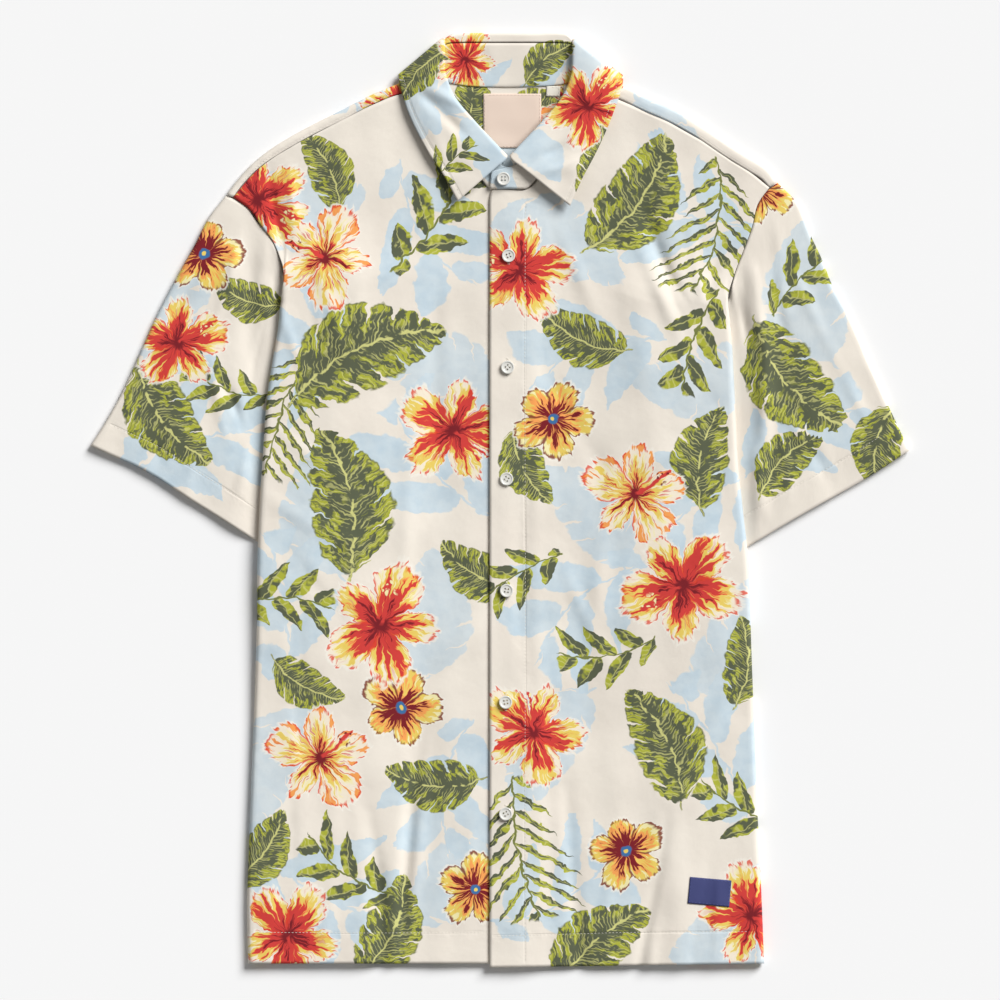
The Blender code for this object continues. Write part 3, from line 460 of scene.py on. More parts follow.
def yokeRows():
    # columns over both shoulders, from the forward seam over the fold to the seam on the back
    run = 6

    def shoulderColumn(side, out, q, cut):
        sign = side["sign"]
        tip = np.array(side["shoulder"][-1] if q == 0 else (out, shoulderY(side, out)), float)
        slope = (shoulderY(side, out - 5) - shoulderY(side, out + 5)) / 10
        normal = np.array((slope, 1.0)) if q > 0 else tip - np.array(side["armhole"][1], float)
        normal = normal / np.hypot(*normal)
        low = yokeLevel(sign * out, tip[1] - 6)
        roll = (lie["shoulderLevel"] - low) / 2
        crest = tip - normal * (roll + lie["cloth"] / 2)
        seam = np.array(side["seamEnd"], float)
        if q > 0:
            seam[0] = out - normal[0] * normal[1] * side["yokeStrip"]
            seam[1] = shoulderY(side, seam[0]) - side["yokeStrip"]
        strip = float(np.hypot(*(crest - seam)))
        total = strip + math.pi * roll
        marks = [0, strip * 0.6] + [strip + math.pi * roll * k / 4 for k in range(5)]
        if cut:
            marks = [mix(total * cut, total + 3, k / 6) for k in range(7)]
        points = []
        for mark in marks:
            angle = min(max(mark - strip, 0) / roll, math.pi)
            place = mix(seam, crest, min(mark / strip, 1)) + normal * roll * math.sin(angle)
            place = place - normal * max(mark - total, 0)
            points.append((*place, low + roll + roll * math.cos(angle)))
        last = np.array(points[-1][:2])
        armholeEnd = np.array((armholeX(side, lie["yokeBackY"]), lie["yokeBackY"]))
        end = np.array((mix(armholeEnd[0], lie["neckCentre"] * sign, q), lie["yokeBackY"]))
        for k in range(1, run + 1):
            t = k / run
            bow = np.array((armholeX(side, mix(side["armhole"][0][1], lie["yokeBackY"], t)), 0.0))
            bow[0] -= mix(side["armhole"][0][0], armholeEnd[0], t)
            place = mix(last, end, t) + bow * max(1 - q / 0.25, 0)
            points.append((*place, yokeLevel(sign * place[0], place[1])))
        return [(sign * x, y, z) for x, y, z in points]

    def neckColumn(x, y, end):
        points = []
        for k in range(7 + run):
            t = (k / 6) * 0.09 if k < 7 else mix(0.09, 1.0, (k - 6) / run)
            atY = mix(y, lie["yokeBackY"], t)
            atX = mix(x, end, t)
            points.append((atX, atY, yokeLevel(atX, atY)))
        return points

    halves = []
    for side in (sides["right"], sides["left"]):
        sign, outs = side["sign"], side["columns"]
        centre = sign * lie["neckCentre"]
        cuts = [0] * (len(outs) - 4) + [0.25, 0.5, 0.75, 1.0]
        half = [
            shoulderColumn(side, out, (outs[0] - out) / (outs[0] - centre), cut)
            for out, cut in zip(outs, cuts)
        ]
        for x, y in neckBack[:-1]:
            x = x if sign < 0 else 2 * lie["neckCentre"] - x
            q = (outs[0] - sign * x) / (outs[0] - centre)
            half.append(neckColumn(x, y, sign * mix(armholeX(side, lie["yokeBackY"]), centre, q)))
        halves.append(half)
    columns = halves[0] + [neckColumn(*neckBack[-1], lie["neckCentre"])] + halves[1][::-1]
    return [[column[k] for column in columns] for k in reversed(range(len(columns[0])))]


def sleeveRows(side):
    # rings from the armhole to the cuff: over, under the body, back below and round the outer fold
    sign = side["sign"]
    gap = lie["armholeGap"]
    visible = np.array([p for p in side["armhole"] if p[1] >= side["pinch"] - 1], float)
    along = np.gradient(visible, axis=0)
    along = along / np.linalg.norm(along, axis=1)[:, None]
    visible = visible + gap * np.column_stack([-along[:, 1], along[:, 0]])
    armholeAt = curveThrough(visible)
    outerAt = curveThrough(side["outer"])
    cuffAt = curveThrough(side["cuff"])
    innerAt = curveThrough(side["inner"])
    pinch = visible[-1]
    cuffIn = side["cuff"][-1]

    def edgeAt(s):
        y = mix(pinch[1] - 2, cuffIn[1], s)
        return np.array((foldClear(side, y), y))

    def plan(a, s):
        straight = mix(outerAt(s), edgeAt(s), a)
        first = armholeAt(a) - mix(outerAt(0), edgeAt(0), a)
        last = cuffAt(a) - mix(outerAt(1), edgeAt(1), a)
        return straight + (1 - s) * first + s * last

    def topLevel(point, s):
        x, y = point
        clear = smoothstep((x - foldClear(side, y)) / 20)
        clear = max(clear, smoothstep((y - side["pinch"] + 2) / 22))
        seamLevel = min(frontLevel(sign * (x - gap), y), 9) - lie["headTuck"]
        level = mix(seamLevel, lie["sleeveLevel"], smoothstep(s / 0.45))
        return mix(lie["sleeveUnderLevel"], level, clear)

    rows = []
    for s in np.arange(lie["sleeveRows"] + 1) / lie["sleeveRows"]:
        low = lie["floorLevel"]
        crestA = (lie["sleeveRoll"] + lie["cloth"] / 2) / np.hypot(*(outerAt(s) - edgeAt(s)))
        crest = plan(crestA, s)
        outward = plan(0, s) - crest
        outward = outward / np.hypot(*outward)
        ring = []
        for k in range(9):
            point = plan(mix(crestA, 1, k / 8), s)
            ring.append((*point, topLevel(point, s)))
        roll = (ring[0][2] - low) / 2
        edge, inner = edgeAt(s), innerAt(s)
        for b in (0.33, 0.66, 1.0):
            ring.append((*mix(edge, inner, b), lie["sleeveUnderLevel"]))
        half = (lie["sleeveUnderLevel"] - low) / 2
        inward = (inner - edge) / np.hypot(*(inner - edge))
        for angle in (60, 120):
            turn = math.radians(angle)
            ring.append((*(inner + inward * half * math.sin(turn)), low + half + half * math.cos(turn)))
        for b in (1.0, 0.5):
            ring.append((*mix(edge, inner, b), low))
        for k in range(6):
            ring.append((*plan(mix(1, crestA, k / 5), s), low))
        for angle in (135, 90, 45):
            turn = math.radians(angle)
            place = crest + outward * lie["sleeveRoll"] * math.sin(turn)
            ring.append((*place, low + roll + roll * math.cos(turn)))
        ring.append(ring[0])
        if sign > 0:
            ring = ring[::-1]
        rows.append([(sign * x, y, z) for x, y, z in ring])
    return rows


def foldClear(side, y):
    return edgeIn(side, y) + lie["foldClear"]


def collarPlaces():
    # round the neck: the stand's foot, the roll's crest, the fall's edge, the way out, the roll's radius,
    # the stand's top and the way up to it
    stations = []
    for sign, rows in ((-1, collarRows[::-1]), (1, collarRows[1:])):
        for *points, lean, roll, lift, (shiftX, shiftY) in rows:
            lean = math.radians(lean)
            outward = np.array((-0.76 * math.cos(lean), 0.65 * math.cos(lean), math.sin(lean)))
            if sign > 0:
                points[2] = (points[2][0] - shiftX, points[2][1] + shiftY, points[2][2])
                points = [(*mirrored(point)[:2], point[2] + lift) for point in points]
                outward[0] *= -1
            stations.append(np.concatenate([*points, outward, [roll]]))
    stations = np.array(stations)
    gaps = np.linalg.norm(np.diff(stations[:, :9], axis=0), axis=1)
    places = []
    for values in throughRows(stations, gaps, [lie["collarSteps"]] * len(gaps)):
        foot, crest, edge, outward = values[:12].reshape(4, 3)
        outward = outward / np.linalg.norm(outward)
        top = crest - outward * values[12]
        places.append((foot, crest, edge, outward, values[12], top, (top - foot) / np.linalg.norm(top - foot)))
    return places


def standRows():
    # the band round the neck, its two ends lapped at the front
    rows = []
    for foot, _, _, _, _, top, up in collarPlaces():
        rows.append([mix(foot, top - up * lie["standShort"], k / 3) for k in range(4)])

    def lapEnd(end, row):
        foot, top = np.array(end, float)
        return [[mix(point, mix(foot, top, k / 3), t) for k, point in enumerate(row)] for t in (0.5, 1.0)]

    rows = lapEnd(standUnderEnd, rows[0])[::-1] + rows + lapEnd(standOverEnd, rows[-1])
    for row in rows:
        # its lower edge turns down onto the cloth below
        run = row[1] - row[0]
        lip = row[0] - run / np.linalg.norm(run) * lie["lip"]
        lip[2] = lie["lipLevel"] if row[0][2] > lie["lipLevel"] else row[0][2] - lie["lipDrop"]
        row.insert(0, lip)
    return rows


def fallRows():
    # the collar from inside its roll, over it and down to its edge
    rows = []
    for _, crest, edge, outward, roll, top, up in collarPlaces():
        strip = lie["standShort"] - mix(lie["standSideGap"], lie["standGap"], abs(outward[2]))
        row = [top - up * strip, top - up * strip / 2]
        for angle in np.linspace(0, math.pi, 5):
            row.append(crest - outward * roll * math.cos(angle) + up * roll * math.sin(angle))
        over = row[-1]
        for t in (0.2, 0.4, 0.6, 0.8, 1.0):
            crown = lie["fallCrown"] * math.sin(math.pi * t) * max(outward[2], 0)
            row.append(mix(over, edge, t) + (0, 0, crown))
        rows.append(row)
    return rows


# Shells of cloth

shell = {
    "wall": 0.6,  # the cloth as it is drawn
    "step": {"front": 2.6, "back": 4.5, "yoke": 2.6, "sleeve": 2.8, "collar": 1.8},
    "least": 0.45,  # the lowest that creases may press the cloth
    "frontLeast": 1.7,  # and the fronts
    "facing": (0.6, 0.35),  # creases start where the cloth faces up this much, and are full this much further
    "free": (2.6, 1.6),  # and the same for its level
    "lowFree": 0.6,  # how full they are on the back and the yoke at the least
    "clear": 1.6,  # what a front keeps above the back panel
    "ripple": 0.5,  # how uneven the cloth lies everywhere
}

# Small creases: from, to, half width, height. They add to the main folds above.
creases = {
    "front_right": [
        (-197, 292, -186, 205, 4.5, -2.4), (-187, 288, -174, 205, 5.5, 2.2), (-86, 60, -74, -120, 9, 1.7),
        (-46, 200, -58, 40, 8, -1.5), (-66, -190, -71, -540, 6, -3.6), (-80, -190, -84, -520, 7, 2.2),
        (-113, -270, -110, -500, 5.4, -2.3), (-126, -250, -124, -401, 6.2, 1.03),
        (-30, -230, -28, -401, 7, 1.03), (-172, -100, -164, -250, 6.2, -1.9),
        (-186, -240, -178, -500, 5.5, -1.9), (-150, -250, -152, -401, 7, 1.03), (-60, 215, -132, 120, 7, 1.61),
        (-186, 236, -152, 128, 5.5, -1.95), (-170, 240, -138, 110, 6.2, 1.61),
        (-196, 190, -170, 96, 4.7, 1.49), (-198, 64, -136, 24, 6.2, 1.38), (-204, 6, -120, -40, 7.8, 1.49),
        (-200, -40, -140, -96, 6.2, -1.26), (-30, 24, -98, -52, 7, -1.26), (-18, -90, -70, -176, 7, 1.15),
    ],
    "front_left": [
        (22, 40, 34, -190, 8, -1.6), (104, 40, 86, -150, 9, 1.5), (134, -270, 117, -520, 5.4, -3.3),
        (148, -260, 134, -500, 6.6, 2.0), (104, -270, 96, -401, 6.2, 1.15), (68, -250, 64, -500, 6, -1.9),
        (50, -230, 46, -401, 6.2, 1.03), (184, -230, 172, -480, 6.2, -1.7), (198, -220, 192, -401, 6.2, 1.15),
        (130, 250, 164, 148, 5, -3.3), (118, 240, 151, 136, 6, 2.2), (168, 240, 178, 150, 5.5, 1.61),
        (184, 220, 172, 120, 4.7, -1.84), (46, 236, 94, 150, 7, 1.38), (194, 70, 128, 30, 6.2, 1.6),
        (181, 96, 187, 10, 4.7, -2.8), (42, 118, 88, 24, 7, -1.26), (206, -26, 132, -70, 7, 1.49),
        (54, -40, 98, -150, 6.2, 1.26), (218, -146, 158, -236, 7, 1.38),
    ],
    "sleeve_right": [
        (-203, 244, -213, 16, 11, -3.8), (-239, 104, -225, 60, 4, -2.3), (-248, 124, -234, 50, 4.7, 1.72),
        (-226, 232, -258, 130, 4.7, 1.61), (-341, 66, -318, 116, 5, -1.49), (-330, 70, -306, 120, 4.7, 1.26),
        (-250, 236, -302, 116, 4.7, -1.26), (-262, 74, -268, 2, 5.5, 1.38), (-290, 60, -300, 20, 5.5, -1.15),
        (-214, 60, -236, -14, 4.7, 1.38),
    ],
    "sleeve_left": [
        (221, 150, 224, -30, 7, 4.2), (211, 196, 217, 128, 5, -3.0), (224, 196, 230, 120, 4.7, 1.61),
        (238, 190, 244, 130, 5, -1.49), (234, 240, 250, 150, 5.5, 1.26), (256, 206, 290, 112, 5.5, 1.15),
        (222, 96, 282, 40, 6.2, 1.49), (300, 112, 326, 46, 4.7, 1.15), (262, 78, 286, 6, 5.5, -1.38),
        (216, 50, 236, -20, 4.7, 1.49), (240, 66, 252, 0, 4.7, 1.03),
    ],
    "yoke": [
        (-170, 306, -108, 330, 4.7, 0.8), (178, 302, 118, 336, 4.7, 0.8), (-30, 316, -44, 262, 6.2, -0.46),
        (46, 318, 60, 258, 6.2, 0.46),
    ],
    "collar_fall": [
        (-76, 306, -46, 262, 11, 2.4), (68, 300, 60, 262, 11, 1.8), (-74, 352, -28, 316, 5, -2.7),
        (-64, 362, -22, 330, 5, 2.2), (-62, 322, -44, 286, 5, 1.03), (-52, 292, -22, 282, 5, -0.92),
        (24, 292, 64, 308, 4.4, -2.0), (28, 280, 68, 296, 4.4, 1.7), (74, 334, 56, 304, 5, 1.15),
        (94, 340, 66, 352, 4.7, 1.03),
    ],
    "back": [
        (-150, 150, -110, -20, 9.4, -0.57), (-60, -60, -80, -300, 10.9, -0.57),
        (40, 120, 66, -90, 10.9, -0.57), (130, -120, 120, -340, 9.4, -0.57),
    ],
    "collar_stand": [(-20, 400, -8, 366, 4.7, -0.69), (46, 400, 34, 366, 4.7, 0.69)],
}


def creaseHeight(name, x, y):
    # the small creases and the ripple of a piece, at many places at once
    total = shell["ripple"] * (
        np.sin(0.061 * x + 0.038 * y + 1.3) * np.sin(0.047 * y - 0.029 * x)
        + 0.6 * np.sin(0.13 * x - 0.071 * y + 2.1) * np.sin(0.093 * y + 0.052 * x + 0.6)
    )
    for startX, startY, endX, endY, width, height in creases[name]:
        runX, runY = endX - startX, endY - startY
        length = math.hypot(runX, runY)
        along = np.clip(((x - startX) * runX + (y - startY) * runY) / length**2, 0, 1)
        sway = 0.045 * length * np.sin(2.6 * along + startX)
        off = ((y - startY) * runX - (x - startX) * runY) / length - sway
        beyond = np.hypot(x - startX - along * runX, y - startY - along * runY)
        end = np.sqrt(np.maximum(beyond**2 - (off + sway) ** 2, 0))
        uneven = 0.8 + 0.2 * np.sin(9 * along + startY)
        taper = np.sin(np.pi * (0.08 + 0.84 * along)) * np.exp(-((end / width) ** 2))
        total = total + height * uneven * taper * np.exp(-((off / width) ** 2))
    return total


def refined(grid, step):
    # more rows, about a step apart
    spans = np.maximum(np.linalg.norm(np.diff(grid[..., :3], axis=0), axis=2).mean(axis=1), 0.001)
    return throughRows(grid, spans, [max(1, math.ceil(span / step)) for span in spans])


def flatLengths(grid):
    # adds how far each point lies along the cloth, across and up
    across = np.linalg.norm(np.diff(grid, axis=1), axis=2)
    up = np.linalg.norm(np.diff(grid, axis=0), axis=2)
    u = np.pad(np.cumsum(across, axis=1), ((0, 0), (1, 0)))
    v = np.pad(np.cumsum(up, axis=0), ((1, 0), (0, 0)))
    return np.dstack([grid, u - u.mean(), v - v.mean()])


def creased(name, grid):
    # moves the points of a grid along its upward side, less where it stands steep or lies on others
    sides = np.cross(np.gradient(grid[..., :3], axis=1), np.gradient(grid[..., :3], axis=0))
    sides = sides / np.maximum(np.linalg.norm(sides, axis=2), 1e-9)[..., None]
    start, over = shell["facing"]
    facing = np.clip((np.abs(sides[..., 2]) - start) / over, 0, 1)
    level = grid[..., 2]
    start, over = shell["free"]
    lowest = shell["lowFree"] if name in ("back", "yoke") else 0
    free = np.maximum(np.clip((level - start) / over, 0, 1), lowest)
    grid = grid.copy()
    moved = level + facing * free * creaseHeight(name, grid[..., 0], grid[..., 1])
    least = shell["least"]
    if name.startswith("front"):
        clear = [[backLevel(x, y) + shell["clear"] for x, y in row[:, :2]] for row in grid]
        least = np.maximum(shell["frontLeast"], clear)
    grid[..., 2] = np.maximum(moved, np.minimum(level, least))
    return grid


def meshOf(shape, name):
    mesh = bpy.data.meshes.new(name)
    shape.to_mesh(mesh)
    shape.free()
    return mesh


def gridMesh(name, points, across, height):
    # a sheet through points of x, y, z and two lengths in the flat, and the point at each corner of its faces
    shape = bmesh.new()
    bmesh.ops.create_grid(shape, x_segments=across - 1, y_segments=height - 1, size=1)
    for vert, point in zip(shape.verts, points):
        vert.co = Vector(point[:3] * mm)
    mesh = meshOf(shape, name)
    corner = np.empty(len(mesh.loops), dtype=np.int32)
    mesh.loops.foreach_get("vertex_index", corner)
    mesh.uv_layers.new(name="flat").data.foreach_set("uv", (points[corner, 3:5] * mm).ravel())
    return mesh, points[corner]


def linked(name, data):
    made = bpy.data.objects.new(name, data)
    bpy.context.scene.collection.objects.link(made)
    return made


def addPiece(name, mesh, material, node=None, wall=None):
    # a piece of the part, which may stand for a node and may be given a wall
    piece = linked(name, mesh)
    mesh.materials.append(material)
    if wall:
        solid = piece.modifiers.new("wall", "SOLIDIFY")
        solid.thickness = wall * mm
        solid.offset = 0
    if node:
        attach(piece, "root")
        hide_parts(node)
    return piece


def clothPiece(node, rows, step, closed=False):
    # a panel: finer rows and columns, creased, printed and given its wall
    grid = np.array(rows, float)
    if grid.shape[2] == 3:
        grid = flatLengths(grid)
    grid = refined(grid, step)
    grid = refined(grid.swapaxes(0, 1), step).swapaxes(0, 1)
    grid = creased(node, grid)
    if closed:
        # the two ends of each ring meet
        grid[:, [0, -1], :3] = grid[:, [0, -1], :3].mean(axis=1, keepdims=True)
    height, across = grid.shape[:2]
    points = grid.reshape(-1, grid.shape[2])
    mesh, corners = gridMesh(node + "_cloth", points, across, height)
    paintMotifs(mesh, corners, printed.get(node, {}))
    mesh.attributes.new("seam", "FLOAT", "POINT").data.foreach_set("value", seamDistance(node, points))
    if closed:
        shape = bmesh.new()
        shape.from_mesh(mesh)
        bmesh.ops.remove_doubles(shape, verts=shape.verts, dist=0.00001)
        shape.to_mesh(mesh)
        shape.free()
    mesh.shade_smooth()
    print(node, "cloth made")
    return addPiece(node + "_cloth", mesh, cloth, node, shell["wall"])


# The print. Each motif is x, y, radius, turn in degrees, variant

printed = {
    "front_right": {
        "shade": [(-170, -331, 73, 330, 0), (-42, -246, 64, 260, 2), (-189, -92, 68, 100, 0),
                  (-54, 29, 70, 130, 1), (-156, 133, 68, 190, 0), (-64, 235, 66, 300, 2)],
        "wash": [(-30, -330, 64, 30, 1), (-192, -226, 64, 240, 0), (-61, -103, 64, 80, 0),
                 (-154, -13, 64, 100, 1), (-51, 110, 64, 160, 0), (-182, 256, 70, 0, 2)],
        "frond": [(-186, 77, 60, 250, 0)],
        "leaf": [(-150, 285, 40, 115, 0), (-120, 125, 78, 25, 1), (-134, -2, 72, 100, 0),
                 (-19, -62, 42, 150, 1), (-169, -158, 38, 330, 0), (-57, -243, 46, 175, 1),
                 (-209, -305, 44, 50, 0), (-97, -372, 52, 65, 0)],
        "sprig": [(-57, 243, 62, 55, 0), (-130, -321, 50, 145, 1), (-191, -88, 48, 0, 1)],
        "pansy": [(-86, -180, 40, 205, 0), (-22, -337, 36, 30, 1)],
        "bloom": [(-209, 259, 58, 295, 0), (-152, 210, 52, 120, 1), (-40, 60, 58, 285, 2),
                  (-102, -108, 62, 40, 0), (-156, -223, 54, 0, 1), (-183, -377, 56, 245, 0)],
    },
    "front_left": {
        "shade": [(49, -343, 64, 30, 2), (185, -216, 70, 120, 0), (74, -89, 68, 220, 2),
                  (188, 2, 64, 210, 2), (81, 127, 66, 200, 2), (167, 252, 66, 160, 3)],
        "wash": [(208, -363, 73, 220, 3), (41, -212, 66, 240, 0), (205, -119, 68, 60, 2),
                 (78, -12, 61, 130, 2), (173, 106, 64, 190, 3), (48, 222, 70, 340, 3)],
        "frond": [(184, 238, 62, 260, 1), (18, -300, 66, 280, 0)],
        "leaf": [(116, 261, 66, 55, 0), (23, 29, 40, 295, 0), (177, 36, 50, 80, 1),
                 (141, -212, 60, 115, 0), (83, -388, 60, 45, 1), (211, -141, 42, 85, 0),
                 (71, 142, 46, 155, 1)],
        "sprig": [(170, 139, 50, 250, 0), (94, -131, 46, 190, 1), (17, -65, 44, 210, 0),
                  (213, -266, 48, 155, 1)],
        "pansy": [(46, 70, 40, 155, 1), (109, -304, 38, 95, 0)],
        "bloom": [(17, 200, 56, 125, 0), (117, 5, 54, 355, 1), (158, -74, 62, 170, 0),
                  (29, -201, 54, 60, 2), (219, -360, 56, 290, 0)],
    },
    "sleeve_right": {
        "shade": [(-268, 44, 73, 20, 3)],
        "wash": [(-282, 167, 73, 80, 3)],
        "leaf": [(-289, 72, 58, 305, 0), (-218, 175, 36, 160, 1)],
        "sprig": [(-237, 99, 40, 160, 1)],
        "pansy": [(-256, 213, 38, 65, 0)],
        "bloom": [(-278, 136, 50, 350, 0)],
    },
    "sleeve_left": {
        "shade": [(260, 57, 64, 30, 3)],
        "wash": [(268, 178, 70, 100, 3)],
        "leaf": [(253, 104, 66, 310, 0), (248, 33, 42, 45, 1), (329, 46, 44, 260, 0)],
        "sprig": [(268, 194, 50, 40, 1)],
        "pansy": [(225, 269, 34, 130, 1)],
    },
    "yoke": {
        "shade": [(-105, 308, 66, 300, 2)],
        "wash": [(-4, 296, 64, 70, 3), (149, 301, 64, 310, 2)],
        "leaf": [(-28, 339, 40, 80, 0), (29, 334, 38, 20, 1)],
        "bloom": [(72, 338, 52, 110, 1), (-84, 335, 44, 285, 0)],
    },
    "collar_fall": {
        "shade": [(-7, 330, 70, 350, 2)],
        "wash": [(88, 350, 57, 120, 1), (-88, 330, 50, 40, 0)],
        "leaf": [(-66, 372, 34, 225, 0), (40, 379, 30, 40, 1), (83, 290, 36, 75, 0)],
        "sprig": [(-44, 288, 32, 45, 1)],
        "bloom": [(76, 341, 46, 20, 0), (-30, 380, 34, 200, 2)],
    },
}
printed["collar_stand"] = printed["collar_fall"]
printed["back"] = {
    layer: [(-x, y, radius, 180 - turn, kind) for front in ("front_right", "front_left")
            for x, y, radius, turn, kind in printed[front][layer]]
    for layer in printed["front_left"]
}


def paintMotifs(mesh, corners, motifs):
    # gives each corner its place in the motif that lies there, from -1 to 1, and the motif's variant
    corners = corners[:, :2].reshape(-1, 4, 2)
    middle = corners.mean(axis=1)
    for layer in ("shade", "wash", "frond", "leaf", "sprig", "pansy", "bloom"):
        table = np.array(motifs.get(layer, []), float).reshape(-1, 5)
        values = np.zeros((len(corners), 4, 3))
        if len(table):
            reach = np.linalg.norm(middle[:, None] - table[None, :, :2], axis=2) / table[:, 2]
            best = reach.argmin(axis=1)
            x, y, radius, turn, variant = table[best].T[:, :, None]
            turn = np.radians(turn)
            offX, offY = (corners[..., 0] - x) / radius, (corners[..., 1] - y) / radius
            values[..., 0] = offX * np.cos(turn) + offY * np.sin(turn)
            values[..., 1] = offY * np.cos(turn) - offX * np.sin(turn)
            values[..., 2] = variant + 1
            values[reach[np.arange(len(best)), best] >= 1.15] = 0
        mesh.attributes.new(layer, "FLOAT_VECTOR", "CORNER").data.foreach_set("vector", values.ravel())


class Value:
    # a number in a node tree, so that sums of nodes can be written out
    def __init__(self, socket):
        self.tree, self.socket = socket.id_data, socket

    def math(self, operation, *others):
        node = self.tree.nodes.new("ShaderNodeMath")
        node.operation = operation
        for slot, value in zip(node.inputs, (self, *others)):
            plug(slot, value)
        return Value(node.outputs[0])

    def __rsub__(self, other):
        return self * -1 + other

    def step(self, low, high):
        # 0 at low, 1 at high, straight between
        return ((self - low) * (1 / (high - low))).least(0).most(1)


for name, operation in (
    ("__add__", "ADD"), ("__radd__", "ADD"), ("__sub__", "SUBTRACT"), ("__mul__", "MULTIPLY"),
    ("__truediv__", "DIVIDE"), ("__pow__", "POWER"), ("__abs__", "ABSOLUTE"), ("sine", "SINE"),
    ("root", "SQRT"), ("least", "MAXIMUM"), ("most", "MINIMUM"), ("part", "FRACT"), ("whole", "FLOOR"),
):
    setattr(Value, name, lambda value, *others, operation=operation: value.math(operation, *others))


def plug(slot, value):
    # gives a node's slot a number, a colour or what another node makes
    if isinstance(value, Value):
        value = value.socket
    if isinstance(value, str):
        value = (*paint[value], 1)
    if isinstance(value, (tuple, float, int)):
        slot.default_value = value
    else:
        slot.id_data.links.new(value, slot)


def vectorOf(*values):
    tree = next(value.tree for value in values if isinstance(value, Value))
    node = tree.nodes.new("ShaderNodeCombineXYZ")
    for slot, value in zip(node.inputs, values):
        plug(slot, value)
    return node.outputs[0]


def parted(vector):
    node = vector.id_data.nodes.new("ShaderNodeSeparateXYZ")
    plug(node.inputs[0], vector)
    return [Value(output) for output in node.outputs]


def noise(place, scale, detail=1):
    # soft noise at a place, either a socket or three values
    if isinstance(place, tuple):
        place = vectorOf(*place)
    node = place.id_data.nodes.new("ShaderNodeTexNoise")
    node.inputs["Scale"].default_value = scale
    node.inputs["Detail"].default_value = detail
    plug(node.inputs["Vector"], place)
    return Value(node.outputs[0])


def ramp(value, **stops):
    # a colour from a value: each colour's name with its one or two places
    stops = sorted((place, color) for color, places in stops.items() for place in np.atleast_1d(places))
    node = value.tree.nodes.new("ShaderNodeValToRGB")
    marks = node.color_ramp.elements
    while len(marks) < len(stops):
        marks.new(0.5)
    for mark, (place, color) in zip(marks, stops):
        mark.position, mark.color = place, (*paint[color], 1)
    plug(node.inputs[0], value)
    return node.outputs["Color"]


def blended(part, first, second):
    # so much of the second colour over the first
    node = part.tree.nodes.new("ShaderNodeMix")
    node.data_type = "RGBA"
    for k, value in ((0, part), (6, first), (7, second)):
        plug(node.inputs[k], value)
    return node.outputs[2]


def paintGroup(name, **extras):
    # a node group from a motif's place to its colour and cover, its place wobbled a little
    tree = bpy.data.node_groups.new(name, "ShaderNodeTree")
    for way, kind, sockets in (
        ("INPUT", "NodeSocketVector", ("Place", "Wobble")), ("INPUT", "NodeSocketFloat", extras),
        ("OUTPUT", "NodeSocketColor", ("Color",)), ("OUTPUT", "NodeSocketFloat", ("Cover",)),
    ):
        for socket in sockets:
            made = tree.interface.new_socket(socket, in_out=way, socket_type=kind)
            if socket in extras:
                made.default_value = extras[socket]
    inside = tree.nodes.new("NodeGroupInput")
    x, y, kind = parted(inside.outputs["Place"])
    first, second, third = parted(inside.outputs["Wobble"])
    x = x + (first - 0.5) * paint["wobble"]
    y = y + (second - 0.5) * paint["wobble"]
    return (x, y, kind, third, *(Value(inside.outputs[extra]) for extra in extras))


def finishGroup(kind, color, cover):
    outside = kind.tree.nodes.new("NodeGroupOutput")
    plug(outside.inputs["Color"], color)
    plug(outside.inputs["Cover"], cover * kind.step(0.4, 0.6))
    return kind.tree


paint = {
    "wobble": 0.16,
    "grain": 95,  # how fine the wobble is
    "ground": (0.85, 0.785, 0.69),
    "groundDark": (0.81, 0.74, 0.65),
    "shade": (0.60, 0.70, 0.755),
    "shadeDeep": (0.53, 0.645, 0.72),
    "halo": (0.90, 0.86, 0.77),
    "maroon": (0.20, 0.014, 0.02),
    "red": (0.64, 0.052, 0.045),
    "scarlet": (0.74, 0.06, 0.03),
    "orange": (0.90, 0.36, 0.10),
    "yellow": (0.82, 0.61, 0.13),
    "butter": (0.90, 0.82, 0.44),
    "cream": (0.90, 0.80, 0.64),
    "leafDark": (0.105, 0.118, 0.07),
    "leafMid": (0.19, 0.21, 0.06),
    "leafLime": (0.42, 0.44, 0.05),
    "leafPale": (0.66, 0.65, 0.24),
    "blue": (0.05, 0.16, 0.36),
    "finish": {"Roughness": 0.86, "Specular IOR Level": 0.15, "Sheen Weight": 0.04, "Sheen Roughness": 0.6},
}


